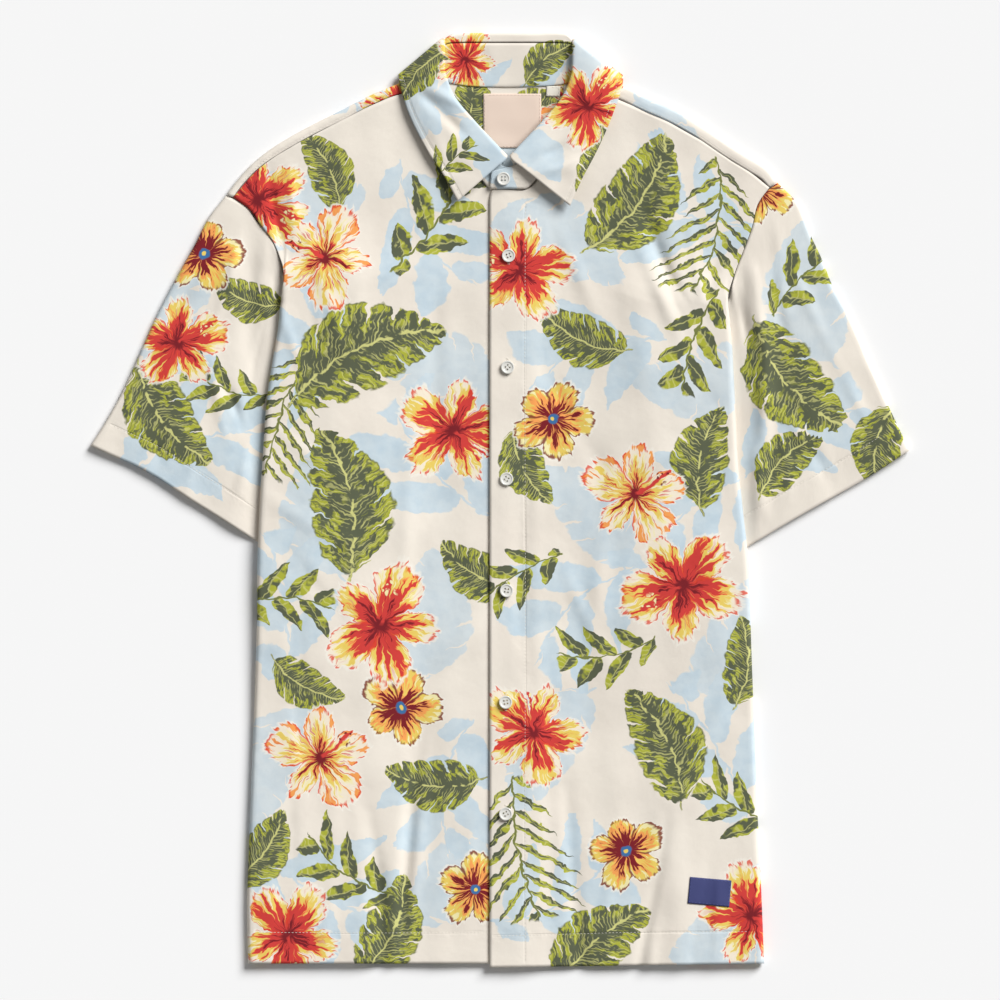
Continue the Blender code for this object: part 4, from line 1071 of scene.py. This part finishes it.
def bloomGroup():
    # a wide flower of five frilled petals with a long stamen; variant 1 is the pale yellow one
    x, y, kind, _ = paintGroup("bloom")
    radius = (x * x + y * y).root()
    turn = y.math("ARCTAN2", x) * (5 / (2 * math.pi)) + kind * 0.13 + 5
    petal = turn.whole()
    gap = abs(turn.part() - 0.5) * 2
    streak = noise((turn * 3.4, radius * 0.8, kind * 3), 2.4, 2)
    fine = noise((turn * 11, radius * 1.6, kind * 9), 2.0, 1)
    lean = (petal * 2.4 + kind * 2).sine()
    reach = lean * 0.09 + 0.84 - (gap**2.0) * (0.42 - lean * 0.1) + (fine - 0.5) * 0.16 + (streak - 0.5) * 0.34
    part = radius / reach
    tone = part + (streak - 0.5) * 2.3 + (fine - 0.5) * 0.9 + lean * 0.07
    hot = ramp(
        tone, maroon=0.10, red=(0.17, 0.52), scarlet=0.58, orange=0.62, yellow=(0.68, 0.84), butter=0.90,
        cream=1.0)
    pale = ramp(
        tone, maroon=0.03, red=(0.10, 0.20), orange=(0.24, 1.0), yellow=(0.30, 0.48), butter=0.56,
        cream=(0.70, 0.96))
    isPale = 1 - abs(kind - 2).step(0.3, 0.7)
    color = blended(isPale, hot, pale)
    veins = fine.step(0.60, 0.64) * (1 - part.step(0.5, 0.9)) * 0.85
    color = blended(veins, color, "red")
    line = gap.step(0.88, 0.96) * radius.step(0.1, 0.2)
    edge = part.step(0.90, 0.94) * fine.step(0.47, 0.53)
    color = blended(line.least(edge) * 0.85, color, "scarlet")
    core = 1 - radius.step(0.07, 0.13)
    color = blended(core, color, "maroon")
    cos, sin = math.cos(0.7), math.sin(0.7)
    alongBar = x * cos + y * sin
    acrossBar = abs(y * cos - x * sin + (alongBar * 4).sine() * 0.03)
    bar = (1 - acrossBar.step(0.018, 0.030)) * alongBar.step(0, 0.04) * (1 - alongBar.step(0.66, 0.69))
    cells = kind.tree.nodes.new("ShaderNodeTexVoronoi")
    plug(cells.inputs["Scale"], 14)
    plug(cells.inputs["Vector"], vectorOf(x, y, 0))
    dots = 1 - Value(cells.outputs["Distance"]).step(0.30, 0.40)
    dots = dots * (1 - acrossBar.step(0.08, 0.11))
    dots = dots * alongBar.step(0.40, 0.44) * (1 - alongBar.step(0.74, 0.78))
    color = blended(bar, color, "red")
    color = blended(dots, color, blended(isPale, "butter", "maroon"))
    petals = (1 - part.step(0.97, 1.0)).least(bar).least(dots)
    halo = 1 - (radius - reach).step(0.01, 0.05)
    color = blended(petals, "halo", color)
    return finishGroup(kind, color, petals.least(halo * 0.8))


def pansyGroup():
    # a small round flower with a streaked dark middle
    x, y, kind, _ = paintGroup("pansy")
    radius = (x * x + y * y).root()
    turn = y.math("ARCTAN2", x) * (5 / (2 * math.pi)) + kind * 0.37 + 5
    gap = abs(turn.part() - 0.5) * 2
    lean = (turn.whole() * 1.9 + kind).sine()
    streak = noise((turn * 5, radius * 1.2, kind * 3), 2.2, 2)
    reach = 0.86 + lean * 0.08 - (gap**2.6) * (0.32 + lean * 0.08) + (streak - 0.5) * 0.3
    part = radius / reach
    tone = part + (streak - 0.5) * 1.9 + lean * 0.08
    color = ramp(tone, maroon=(0.30, 0.44), orange=(0.50, 0.66), yellow=(0.72, 0.92), butter=0.97)
    line = gap.step(0.86, 0.95) * radius.step(0.15, 0.25)
    edge = part.step(0.88, 0.93) * streak.step(0.42, 0.5)
    color = blended(line.least(edge) * 0.9, color, "maroon")
    color = blended(1 - radius.step(0.11, 0.14), color, "blue")
    color = blended(1 - radius.step(0.045, 0.06), color, "yellow")
    petals = 1 - part.step(0.97, 1.0)
    halo = 1 - (radius - reach).step(0.01, 0.06)
    color = blended(petals, "halo", color)
    return finishGroup(kind, color, petals.least(halo * 0.8))


def leafColor(tone, alternate):
    dark = ramp(tone, leafDark=(0, 0.39), leafMid=0.44, leafLime=(0.49, 0.80), leafPale=0.92)
    return blended(alternate, dark, "leafLime")


def besideRib(x, y, bend):
    # how far a place lies from a bent rib, and on which side
    y = y - bend * (x * x - 0.35)
    return abs(y), y.step(-0.001, 0.001)


def leafGroup():
    # a broad torn leaf with a pale curved rib
    x, y, kind, third = paintGroup("leaf")
    side, upper = besideRib(x, y, (kind * 3.1 - 0.8).sine() * 0.34)
    along = ((x + 0.86) / 1.82).least(0).most(1)
    width = ((along * math.pi).sine().least(0) ** 0.6) * (1.14 - along * 0.45) * 0.56
    slant = (x - side * 0.62) * 3.2 + kind * 0.7 + upper * 0.4
    brush = noise((slant * 1.6, side * 3, kind + upper), 2.4, 3)
    tear = noise((slant.whole(), upper * 5, kind), 1.7, 0)
    near = abs(slant.part() - 0.5) * 2
    open = near.step(0.80, 0.97) * (side / width.least(0.02)).step(0.15, 0.8) * tear.step(0.38, 0.44)
    width = width * (1 - open * 0.85) * (1 - near * near * 0.07)
    part = side / width.least(0.004)
    rim = part.least(near * part.step(0.15, 0.6) * 0.92)
    tone = rim * 0.66 + (brush - 0.5) * 1.5 + (third - 0.5) * 0.6
    color = leafColor(tone, brush.step(0.55, 0.59) * part.step(0.1, 0.4) * 0.85)
    strokes = (slant * 34 + third * 9).sine().step(0.35, 0.8) * (third + brush * 0.5).step(0.66, 0.78)
    color = blended(strokes * 0.5, color, "leafPale")
    strokes = (slant * 27 - brush * 16).sine().step(0.5, 0.9) * part.step(0.3, 0.6)
    color = blended(strokes * 0.7, color, "leafDark")
    veins = (1 - near.step(0.03, 0.07)) * (1 - part.step(0.55, 0.8)) * third.step(0.40, 0.46)
    color = blended(veins * 0.6, color, "leafPale")
    rib = (1 - side.step(0.012, 0.022)) * third.step(0.38, 0.44)
    color = blended(rib * 0.9, color, "leafPale")
    outline = part.step(0.90, 0.95) * third.step(0.45, 0.52)
    color = blended(outline * 0.7, color, "leafDark")
    blade = (1 - part.step(0.95, 1.0)) * along.step(0.0, 0.02) * (1 - along.step(0.98, 1.0))
    stalk = (1 - side.step(0.016, 0.024)) * x.step(-0.99, -0.97) * (1 - x.step(-0.8, -0.7))
    return finishGroup(kind, color, blade.least(stalk))


def frondGroup():
    # a stem with leaflets to both sides: many thin ones for a palm, a few round ones for a sprig
    x, y, kind, third, count, fullness, spread = paintGroup("frond", Count=8.0, Fullness=0.55, Spread=0.6)
    side, upper = besideRib(x, y, (kind * 2.7).sine() * 0.3)
    slant = (x - side * 0.8) * count + upper * 0.5 + kind * 0.3
    number = slant.whole()
    start = (number + 0.5 - upper * 0.5 - kind * 0.3) / count
    vary = noise((number * 3.7, upper * 5, kind), 1.3, 0)
    length = (1 - start * start).least(0).root() * spread * (0.7 + vary * 0.6)
    part = side / length.least(0.01)
    wide = (1 - part).least(0) * part.root() * fullness * 1.3
    off = (slant.part() - 0.5) + (part * math.pi).sine() * (vary - 0.5) * 0.3
    offPart = abs(off) / wide.least(0.01)
    tone = offPart * 0.42 + (third - 0.5) * 1.6 + 0.08
    color = leafColor(tone, off.step(0.01, 0.03) * third.step(0.42, 0.5))
    strokes = (part * 38 + offPart * 5 + third * 9).sine().step(0.4, 0.8) * third.step(0.47, 0.55)
    color = blended(strokes * 0.5, color, "leafPale")
    rib = (1 - abs(off).step(0.012, 0.03)) * (1 - part.step(0.75, 0.9))
    color = blended(rib * 0.6, color, "leafPale")
    leaflets = (1 - offPart.step(0.92, 1.0)) * (1 - part.step(0.97, 1.0))
    leaflets = leaflets * x.step(-0.92, -0.9) * (1 - abs(x).step(0.97, 1.0))
    stem = (1 - side.step(0.012, 0.02)) * (1 - abs(x).step(0.93, 0.95))
    color = blended(stem, color, "leafMid")
    return finishGroup(kind, color, leaflets.least(stem))


def printedCloth():
    # the ground, the pale shadows of leaves, and the motifs over them
    made, tree, shader = newMaterial("printed cloth")
    where = tree.nodes.new("ShaderNodeTexCoord").outputs["Object"]
    blotch = noise(where, 16, 2)
    wobble = noise(where, paint["grain"], 2).socket.node.outputs["Color"]
    soft = parted(wobble)[2]

    def layer(group, name, **given):
        place = tree.nodes.new("ShaderNodeAttribute")
        place.attribute_name = name
        node = tree.nodes.new("ShaderNodeGroup")
        node.node_tree = group
        for key, value in {"Place": place.outputs["Vector"], "Wobble": wobble, **given}.items():
            plug(node.inputs[key], value)
        return node.outputs["Color"], Value(node.outputs["Cover"])

    frond = frondGroup()
    leaf = leafGroup()
    color = blended(blotch.step(0.35, 0.7), "ground", "groundDark")
    _, cover = layer(frond, "shade", Count=1.5, Fullness=0.80, Spread=0.95)
    _, wash = layer(leaf, "wash")
    cover = cover.least(wash * 0.85)
    blue = blended(soft.step(0.4, 0.65) * 0.8, "shade", "shadeDeep")
    color = blended(cover * (0.75 + blotch * 0.4).most(1), color, blue)
    for group, name, given in (
        (frond, "frond", {"Count": 4.6, "Fullness": 0.5, "Spread": 0.7}),
        (leaf, "leaf", {}),
        (frond, "sprig", {"Count": 1.9, "Fullness": 0.74, "Spread": 0.6}),
        (pansyGroup(), "pansy", {}),
        (bloomGroup(), "bloom", {}),
    ):
        over, cover = layer(group, name, **given)
        color = blended(cover, color, over)
    plug(shader.inputs["Base Color"], color)
    for key, value in paint["finish"].items():
        shader.inputs[key].default_value = value
    weave(shader, seams=True)
    return made


def weave(shader, pitch=0.55, seams=False):
    # over and under threads, and a groove along the stitched seams
    tree = shader.id_data
    flat = tree.nodes.new("ShaderNodeUVMap")
    flat.uv_map = "flat"
    u, v = (place * (2 * math.pi / (pitch * mm)) for place in parted(flat.outputs[0])[:2])
    height = u.sine() * v.sine() * 0.03
    if seams:
        near = tree.nodes.new("ShaderNodeAttribute")
        near.attribute_name = "seam"
        away = Value(near.outputs["Fac"])
        uneven = noise(flat.outputs[0], 90, 2)
        height = height - (1 - away.step(0.3, 1.6)) * 0.35
        height = height + (uneven - 0.5) * (0.35 + (1 - away.step(1.0, 9.0)) * 0.45)
    bump = tree.nodes.new("ShaderNodeBump")
    for key, value in {"Strength": 0.8, "Distance": mm, "Height": height}.items():
        plug(bump.inputs[key], value)
    plug(shader.inputs["Normal"], bump.outputs["Normal"])


def newMaterial(name):
    made = bpy.data.materials.new(name)
    made.use_nodes = True
    return made, made.node_tree, made.node_tree.nodes["Principled BSDF"]


def plainMaterial(name, color, roughness, woven=False):
    made, _, shader = newMaterial(name)
    shader.inputs["Base Color"].default_value = (*color, 1)
    shader.inputs["Roughness"].default_value = roughness
    if woven:
        weave(shader, 0.9)
    return made


# Seams and stitches. Each line is a list of x, y on the cloth

stitch = {
    "pitch": 3.1,  # from one stitch to the next
    "length": 2.3,
    "width": 0.42,
    "height": 0.26,
    "sunk": 0.3,  # its middle is up by this part of its height
    "jump": 1.5,  # a stitch that would climb more is left out
    "thread": (0.78, 0.74, 0.66),
    "hemUp": 27.0,  # the hems' stitches lie this far above their edges
    "cuffUp": 24.0,
    "collarIn": 5.0,
    "yokeIn": 1.8,
}


def yokeSeam(key):
    side = sides[key]
    strip = side["yokeStrip"] - stitch["yokeIn"]
    last = 224 if key == "right" else 226
    return [(side["sign"] * x, shoulderY(side, x) - strip) for x in np.linspace(90, last, 14)]


def cuffLine(key):
    side = sides[key]
    cuff = np.array(side["cuff"], float)
    run = cuff[-1] - cuff[0]
    up = np.array((run[1], -run[0])) / np.hypot(*run) * stitch["cuffUp"]
    line = cuff + up
    line[0] += (cuff[0] - cuff[1]) * -0.3
    return [(side["sign"] * x, y) for x, y in line]


def collarLine():
    line = []
    for row in fallRows():
        over, end = np.array(row[-6]), np.array(row[-1])
        reach = np.linalg.norm(end - over)
        if over[2] > 6:
            line.append(tuple(mix(end, over, stitch["collarIn"] / reach)[:2]))
    return line


hemAt = lie["hemY"] + stitch["hemUp"]
edgeRun = lie["overFrontEdge"] + 3
collarRun = collarLine()
halfCollar = len(collarRun) // 2
seamLines = {
    "front_right": [[(-212, hemAt), (-110, hemAt - 0.6), (-14, hemAt)]],
    "front_left": [
        [(22, 262), (21.4, 120), (22, -60), (21.6, -240), (22, -400)],
        [(edgeRun, hemAt - 3.2), (22, hemAt - 2.6), (110, hemAt), (218, hemAt + 0.8)],
    ],
    "yoke": [yokeSeam("right"), yokeSeam("left")],
    "sleeve_right": [cuffLine("right")],
    "sleeve_left": [cuffLine("left")],
    "collar_fall": [collarRun[:halfCollar], collarRun[halfCollar:]],
}


def seamDistance(node, points):
    # how far each point lies from the nearest seam line, in millimetres
    nearest = np.full(len(points), 50.0)
    place = points[:, :2]
    for line in seamLines.get(node, []):
        for start, end in zip(line[:-1], line[1:]):
            start, run = np.array(start), np.array(end) - np.array(start)
            along = np.clip((place - start) @ run / max(run @ run, 1e-9), 0, 1)
            nearest = np.minimum(nearest, np.linalg.norm(place - start - along[:, None] * run, axis=1))
    return nearest


cloth = printedCloth()
threadCloth = plainMaterial("thread", stitch["thread"], 0.7)
cloths = {
    node: clothPiece(node, rows, shell["step"][kind], closed)
    for node, rows, kind, closed in (
        ("front_right", frontRows(sides["right"], lie["underFrontEdge"], 0), "front", False),
        ("front_left", frontRows(sides["left"], lie["overFrontEdge"], 1), "front", False),
        ("back", backRows(), "back", False),
        ("yoke", yokeRows(), "yoke", False),
        ("sleeve_right", sleeveRows(sides["right"]), "sleeve", True),
        ("sleeve_left", sleeveRows(sides["left"]), "sleeve", True),
        ("collar_stand", standRows(), "collar", False),
        ("collar_fall", fallRows(), "collar", False),
    )
}


def surfaceOf(piece):
    # a tree over a piece's finished surface
    made = piece.evaluated_get(bpy.context.evaluated_depsgraph_get())
    mesh = made.to_mesh()
    tree = BVHTree.FromPolygons(
        [vert.co.copy() for vert in mesh.vertices], [face.vertices[:] for face in mesh.polygons])
    made.to_mesh_clear()
    return tree


def topAt(tree, x, y):
    # the cloth's upper surface at a place in millimetres, or nothing where there is none
    hit = tree.ray_cast(Vector((x, y, 100)) * mm, Vector((0, 0, -1)))[0]
    return None if hit is None else hit / mm


def resampled(line, pitch):
    # places along a line, a pitch apart
    line = np.array(line, float)
    travel = np.concatenate([[0], np.cumsum(np.linalg.norm(np.diff(line, axis=0), axis=1))])
    places = np.arange(pitch / 2, travel[-1], pitch)
    return np.column_stack([np.interp(places, travel, line[:, k]) for k in (0, 1)])


def addThread(shape, start, end, width, height, fine=1):
    # one stitch, a long drop of thread between two points on the cloth
    run = Vector(end) - Vector(start)
    turn = run.to_track_quat("X", "Z").to_matrix().to_4x4()
    size = Matrix.Diagonal((run.length / 2, width / 2, height / 2, 1))
    middle = (Vector(start) + Vector(end)) / 2
    bmesh.ops.create_icosphere(
        shape, subdivisions=fine, radius=1,
        matrix=Matrix.Diagonal((mm, mm, mm, 1)) @ Matrix.Translation(middle) @ turn @ size)


def sewOn(shape, tree, start, end, width, height, up):
    # a stitch on the cloth, unless one end of it is off the cloth or on another layer
    start, end = topAt(tree, *start), topAt(tree, *end)
    if None not in (start, end) and abs(start[2] - end[2]) < stitch["jump"]:
        lift = Vector((0, 0, up))
        addThread(shape, start + lift, end + lift, width, height)


def stitchLine(shape, tree, line):
    places = resampled(line, stitch["pitch"])
    for before, place, after in zip(places[:-2], places[1:-1], places[2:]):
        along = (after - before) / np.linalg.norm(after - before) * stitch["length"] / 2
        size = stitch["width"], stitch["height"], stitch["height"] * stitch["sunk"]
        sewOn(shape, tree, place - along, place + along, *size)


def threadPiece(name, shape, material):
    mesh = meshOf(shape, name)
    mesh.shade_smooth()
    piece = addPiece(name, mesh, material)
    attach(piece, "root")
    return piece


trees = {node: surfaceOf(cloths[node]) for node in cloths}
threads = {}
for node, lines in seamLines.items():
    shape = bmesh.new()
    for line in lines:
        stitchLine(shape, trees[node], line)
    threads[node] = threadPiece(node + "_stitches", shape, threadCloth)
print("stitches made")

# Buttons, buttonholes and labels

button = {
    "sides": 40,
    "rings": ((0.35, 0.06), (0.7, -0.02), (0.45, -0.42), (0.5, -0.08)),  # from the rim in: width, height
    "bevel": 0.18,
    "hole": 0.75,  # radius of its four holes
    "holeOff": 1.35,  # from its middle, both ways
    "turn": 0.35,  # from one button to the next
    "thread": (0.36, 0.5),  # its width and height
    "threadIn": 0.55,  # below the button's top
    "color": (0.76, 0.75, 0.70),
    "threadColor": (0.70, 0.66, 0.58),
    "holeLong": 15.0,  # the buttonholes
    "holeWide": 2.2,
    "holePitch": 0.75,
    "holeThread": (0.6, 0.24),
    "upright": [f"button_{k}" for k in range(1, 7)],  # those with an upright buttonhole below them
}


def buttonMesh(radius, height):
    shape = bmesh.new()
    bmesh.ops.create_circle(shape, cap_ends=True, radius=radius, segments=button["sides"])
    lifted = bmesh.ops.extrude_face_region(shape, geom=list(shape.faces))["geom"]
    top = [v for v in lifted if isinstance(v, bmesh.types.BMVert)]
    bmesh.ops.translate(shape, verts=top, vec=(0, 0, height))
    cap = [f for f in lifted if isinstance(f, bmesh.types.BMFace)]
    for thick, deep in button["rings"]:
        bmesh.ops.inset_region(shape, faces=cap, thickness=thick * mm, depth=deep * mm)
    edges = [e for e in shape.edges if not e.is_boundary and e.calc_face_angle(0) > 0.9]
    bmesh.ops.bevel(shape, geom=edges, offset=button["bevel"] * mm, segments=2, affect="EDGES", profile=0.5)
    bmesh.ops.recalc_face_normals(shape, faces=shape.faces)
    blank = linked("blank", meshOf(shape, "button"))
    cutter = bmesh.new()
    wide = button["hole"] * mm
    for x, y in ((-1, -1), (-1, 1), (1, -1), (1, 1)):
        off = Vector((x, y, 0)) * button["holeOff"] * mm
        bmesh.ops.create_cone(
            cutter, cap_ends=True, segments=14, radius1=wide, radius2=wide, depth=4 * height,
            matrix=Matrix.Translation(off))
    drill = linked("drill", meshOf(cutter, "holes"))
    cut = blank.modifiers.new("holes", "BOOLEAN")
    cut.operation = "DIFFERENCE"
    cut.object = drill
    bpy.context.view_layer.update()
    made = bpy.data.meshes.new_from_object(blank.evaluated_get(bpy.context.evaluated_depsgraph_get()))
    for held in (blank, drill):
        bpy.data.objects.remove(held)
    made.materials.clear()
    return made


buttonPlastic = plainMaterial("button plastic", button["color"], 0.28)
buttonPlastic.node_tree.nodes["Principled BSDF"].inputs["Coat Weight"].default_value = 0.4
darkThread = plainMaterial("button thread", button["threadColor"], 0.7)
firstLow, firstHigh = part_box("button_1")
turned = buttonMesh((firstHigh[0] - firstLow[0]) / 2, (firstHigh[2] - firstLow[2]) - 0.1 * mm)
holeShape = bmesh.new()
for k, node in enumerate(["button_collar"] + button["upright"]):
    low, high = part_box(node)
    centre = Vector(((low[0] + high[0]) / 2, (low[1] + high[1]) / 2, low[2] + 0.05 * mm))
    x, y = centre[0] / mm, centre[1] / mm
    spin = Matrix.Rotation(button["turn"] * k, 4, "Z")
    mesh = turned.copy()
    mesh.transform(Matrix.Translation(centre) @ spin)
    mesh.shade_smooth()
    mesh.set_sharp_from_angle(angle=0.6)
    addPiece(node + "_shown", mesh, buttonPlastic, node)
    # the thread through the holes, on top of the dish
    shape = bmesh.new()
    off = button["holeOff"]
    middle = Vector((x, y, high[2] / mm - button["threadIn"]))
    for way in (-1, 1):
        ends = [spin @ Vector((off * way, off * end, 0)) + middle for end in (-1, 1)]
        for shift in (-0.18, 0.18):
            aside = spin @ Vector((shift, 0, 0))
            addThread(shape, ends[0] + aside, ends[1] + aside, *button["thread"], 2)
    threadPiece(node + "_thread", shape, darkThread)
    if node in button["upright"]:
        # short stitches to both sides of a slit, and across its ends
        wide, long = button["holeWide"] / 2, button["holeLong"] / 2
        for row in np.arange(-long, long + 0.01, button["holePitch"]):
            inner = 0.25 if abs(row) < long - 1.2 else -wide
            for way in (-1, 1):
                start, end = (x + way * inner, y + row), (x + way * wide, y + row + 0.2)
                sewOn(holeShape, trees["front_left"], start, end, *button["holeThread"], 0.08)

holes = threadPiece("buttonholes", holeShape, threadCloth)
print("buttons made")

labels = {
    "neck_label": {"on": "yoke", "centre": (10.6, 328), "size": (50, 47), "turn": 0, "round": 12,
                   "color": (0.82, 0.66, 0.55), "edge": (0.62, 0.49, 0.41)},
    "size_tab_1": {"on": "yoke", "centre": (46, 353.5), "size": (12, 9), "turn": -2, "round": 0,
                   "color": (0.82, 0.78, 0.68), "edge": (0.66, 0.62, 0.54)},
    "size_tab_2": {"on": "yoke", "centre": (59, 355), "size": (8, 7), "turn": -4, "round": 0,
                   "color": (0.82, 0.78, 0.68), "edge": (0.66, 0.62, 0.54)},
    "hem_label": {"on": "front_left", "centre": (181.3, -339), "size": (36, 23), "turn": -5, "round": 0,
                  "color": (0.041, 0.05, 0.17), "edge": (0.09, 0.11, 0.30)},
}
labelCloth = {
    "wall": 0.4,
    "grain": 1.2,  # from one of its points to the next
    "up": 0.55,  # above the cloth at its edge
    "puff": 0.22,  # and this much more in the middle
    "edgeIn": 1.2,  # its stitches lie this far in
    "sheetLeast": 10,  # the least length given for a label's size
}


def labelPlace(spec, u, v):
    # a place on a label, from its middle, on the cloth's plan
    height, width = spec["size"][1], spec["size"][0]
    if spec["round"] and v < 0:
        inset = max(0.0, -v - (height / 2 - spec["round"]))
        u *= 1 - (1 - math.sqrt(max(1 - (inset / spec["round"]) ** 2, 0))) * 2 * spec["round"] / width * 0.9
    turn = math.radians(spec["turn"])
    x = spec["centre"][0] + u * math.cos(turn) - v * math.sin(turn)
    return x, spec["centre"][1] + u * math.sin(turn) + v * math.cos(turn)


for node, spec in labels.items():
    width, height = spec["size"]
    across, down = round(width / labelCloth["grain"]), round(height / labelCloth["grain"])
    points = []
    for j in range(down + 1):
        for i in range(across + 1):
            u, v = (i / across - 0.5) * width, (j / down - 0.5) * height
            x, y = labelPlace(spec, u, v)
            edge = min(width / 2 - abs(u), height / 2 - abs(v))
            up = labelCloth["up"] + labelCloth["puff"] * min(edge / 4, 1)
            up += 0.06 * math.sin(0.21 * x + 0.13 * y)
            points.append((x, y, topAt(trees[spec["on"]], x, y)[2] + up, u, v))
    mesh = gridMesh(node + "_shown", np.array(points), across + 1, down + 1)[0]
    mesh.shade_smooth()
    woven = plainMaterial(node, spec["color"], 0.75, woven=True)
    piece = addPiece(node + "_shown", mesh, woven, node, labelCloth["wall"])
    bpy.context.view_layer.update()
    shape = bmesh.new()
    halfWide, halfHigh = width / 2 - labelCloth["edgeIn"], height / 2 - labelCloth["edgeIn"]
    corners = [(-1, 1), (1, 1), (1, -1), (-1, -1), (-1, 1)]
    line = [
        labelPlace(spec, mix(u1, u2, t) * halfWide, mix(v1, v2, t) * halfHigh)
        for (u1, v1), (u2, v2) in zip(corners[:-1], corners[1:]) for t in np.linspace(0, 1, 12)[:-1]
    ]
    stitchLine(shape, surfaceOf(piece), line + line[:1])
    edging = threadPiece(node + "_stitches", shape, plainMaterial(node + " thread", spec["edge"], 0.7))
    shown = [max(length, labelCloth["sheetLeast"]) * mm for length in (width, height)]

print("labels made")


# The room

room = {
    "view": 0.865,  # what the picture spans, in metres
    "cameraUp": 3,
    "floor": 6,  # half its width
    "floorDown": 0.0004,  # just below the cloth
    "paper": (0.92, 0.92, 0.92),
    "sky": 0.22,
    "sun": 4.3,
    "sunSoft": 32,  # degrees across
    "sunTo": (-0.63, -0.67, -0.64),
}
floorShape = bmesh.new()
bmesh.ops.create_grid(floorShape, x_segments=1, y_segments=1, size=room["floor"])
bmesh.ops.translate(floorShape, verts=floorShape.verts, vec=(0, 0, -room["floorDown"]))
floor = addPiece("floor", meshOf(floorShape, "floor"), plainMaterial("paper", room["paper"], 0.95))
floor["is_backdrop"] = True

# What each piece was cut to, in metres, and the threads sewn on it
for node, piece in cloths.items():
    mesh = piece.data
    uv = np.empty(len(mesh.loops) * 2)
    mesh.uv_layers["flat"].data.foreach_get("uv", uv)
    quads = uv.reshape(-1, 4, 2)
    sideA, sideB = quads[:, 2] - quads[:, 0], quads[:, 3] - quads[:, 1]
    area = float(np.abs(sideA[:, 0] * sideB[:, 1] - sideA[:, 1] * sideB[:, 0]).sum() / 2)
    width, length = np.ptp(quads.reshape(-1, 2), axis=0)
    print("cut", node, round(float(width), 4), round(float(length), 4), round(area, 5))
    sewn = [holes] if node == "front_left" else []
    sewn += [threads[node]] if node in threads else []

world = bpy.data.worlds.new("studio")
bpy.context.scene.world = world
world.use_nodes = True
sky = world.node_tree.nodes["Background"].inputs
sky["Color"].default_value = (1, 1, 1, 1)
sky["Strength"].default_value = room["sky"]

sun = bpy.data.lights.new("sun", "SUN")
sun.energy = room["sun"]
sun.angle = math.radians(room["sunSoft"])
sunHeld = linked("sun", sun)
sunHeld.rotation_euler = Vector(room["sunTo"]).to_track_quat("-Z", "Y").to_euler()
sunHeld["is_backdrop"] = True

lens = bpy.data.cameras.new("camera")
lens.type = "ORTHO"
lens.ortho_scale = room["view"]
camera = linked("camera", lens)
camera.location = (0, 0, room["cameraUp"])
bpy.context.scene.camera = camera
bpy.context.scene.view_settings.view_transform = "Standard"
print("room made")

low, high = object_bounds()
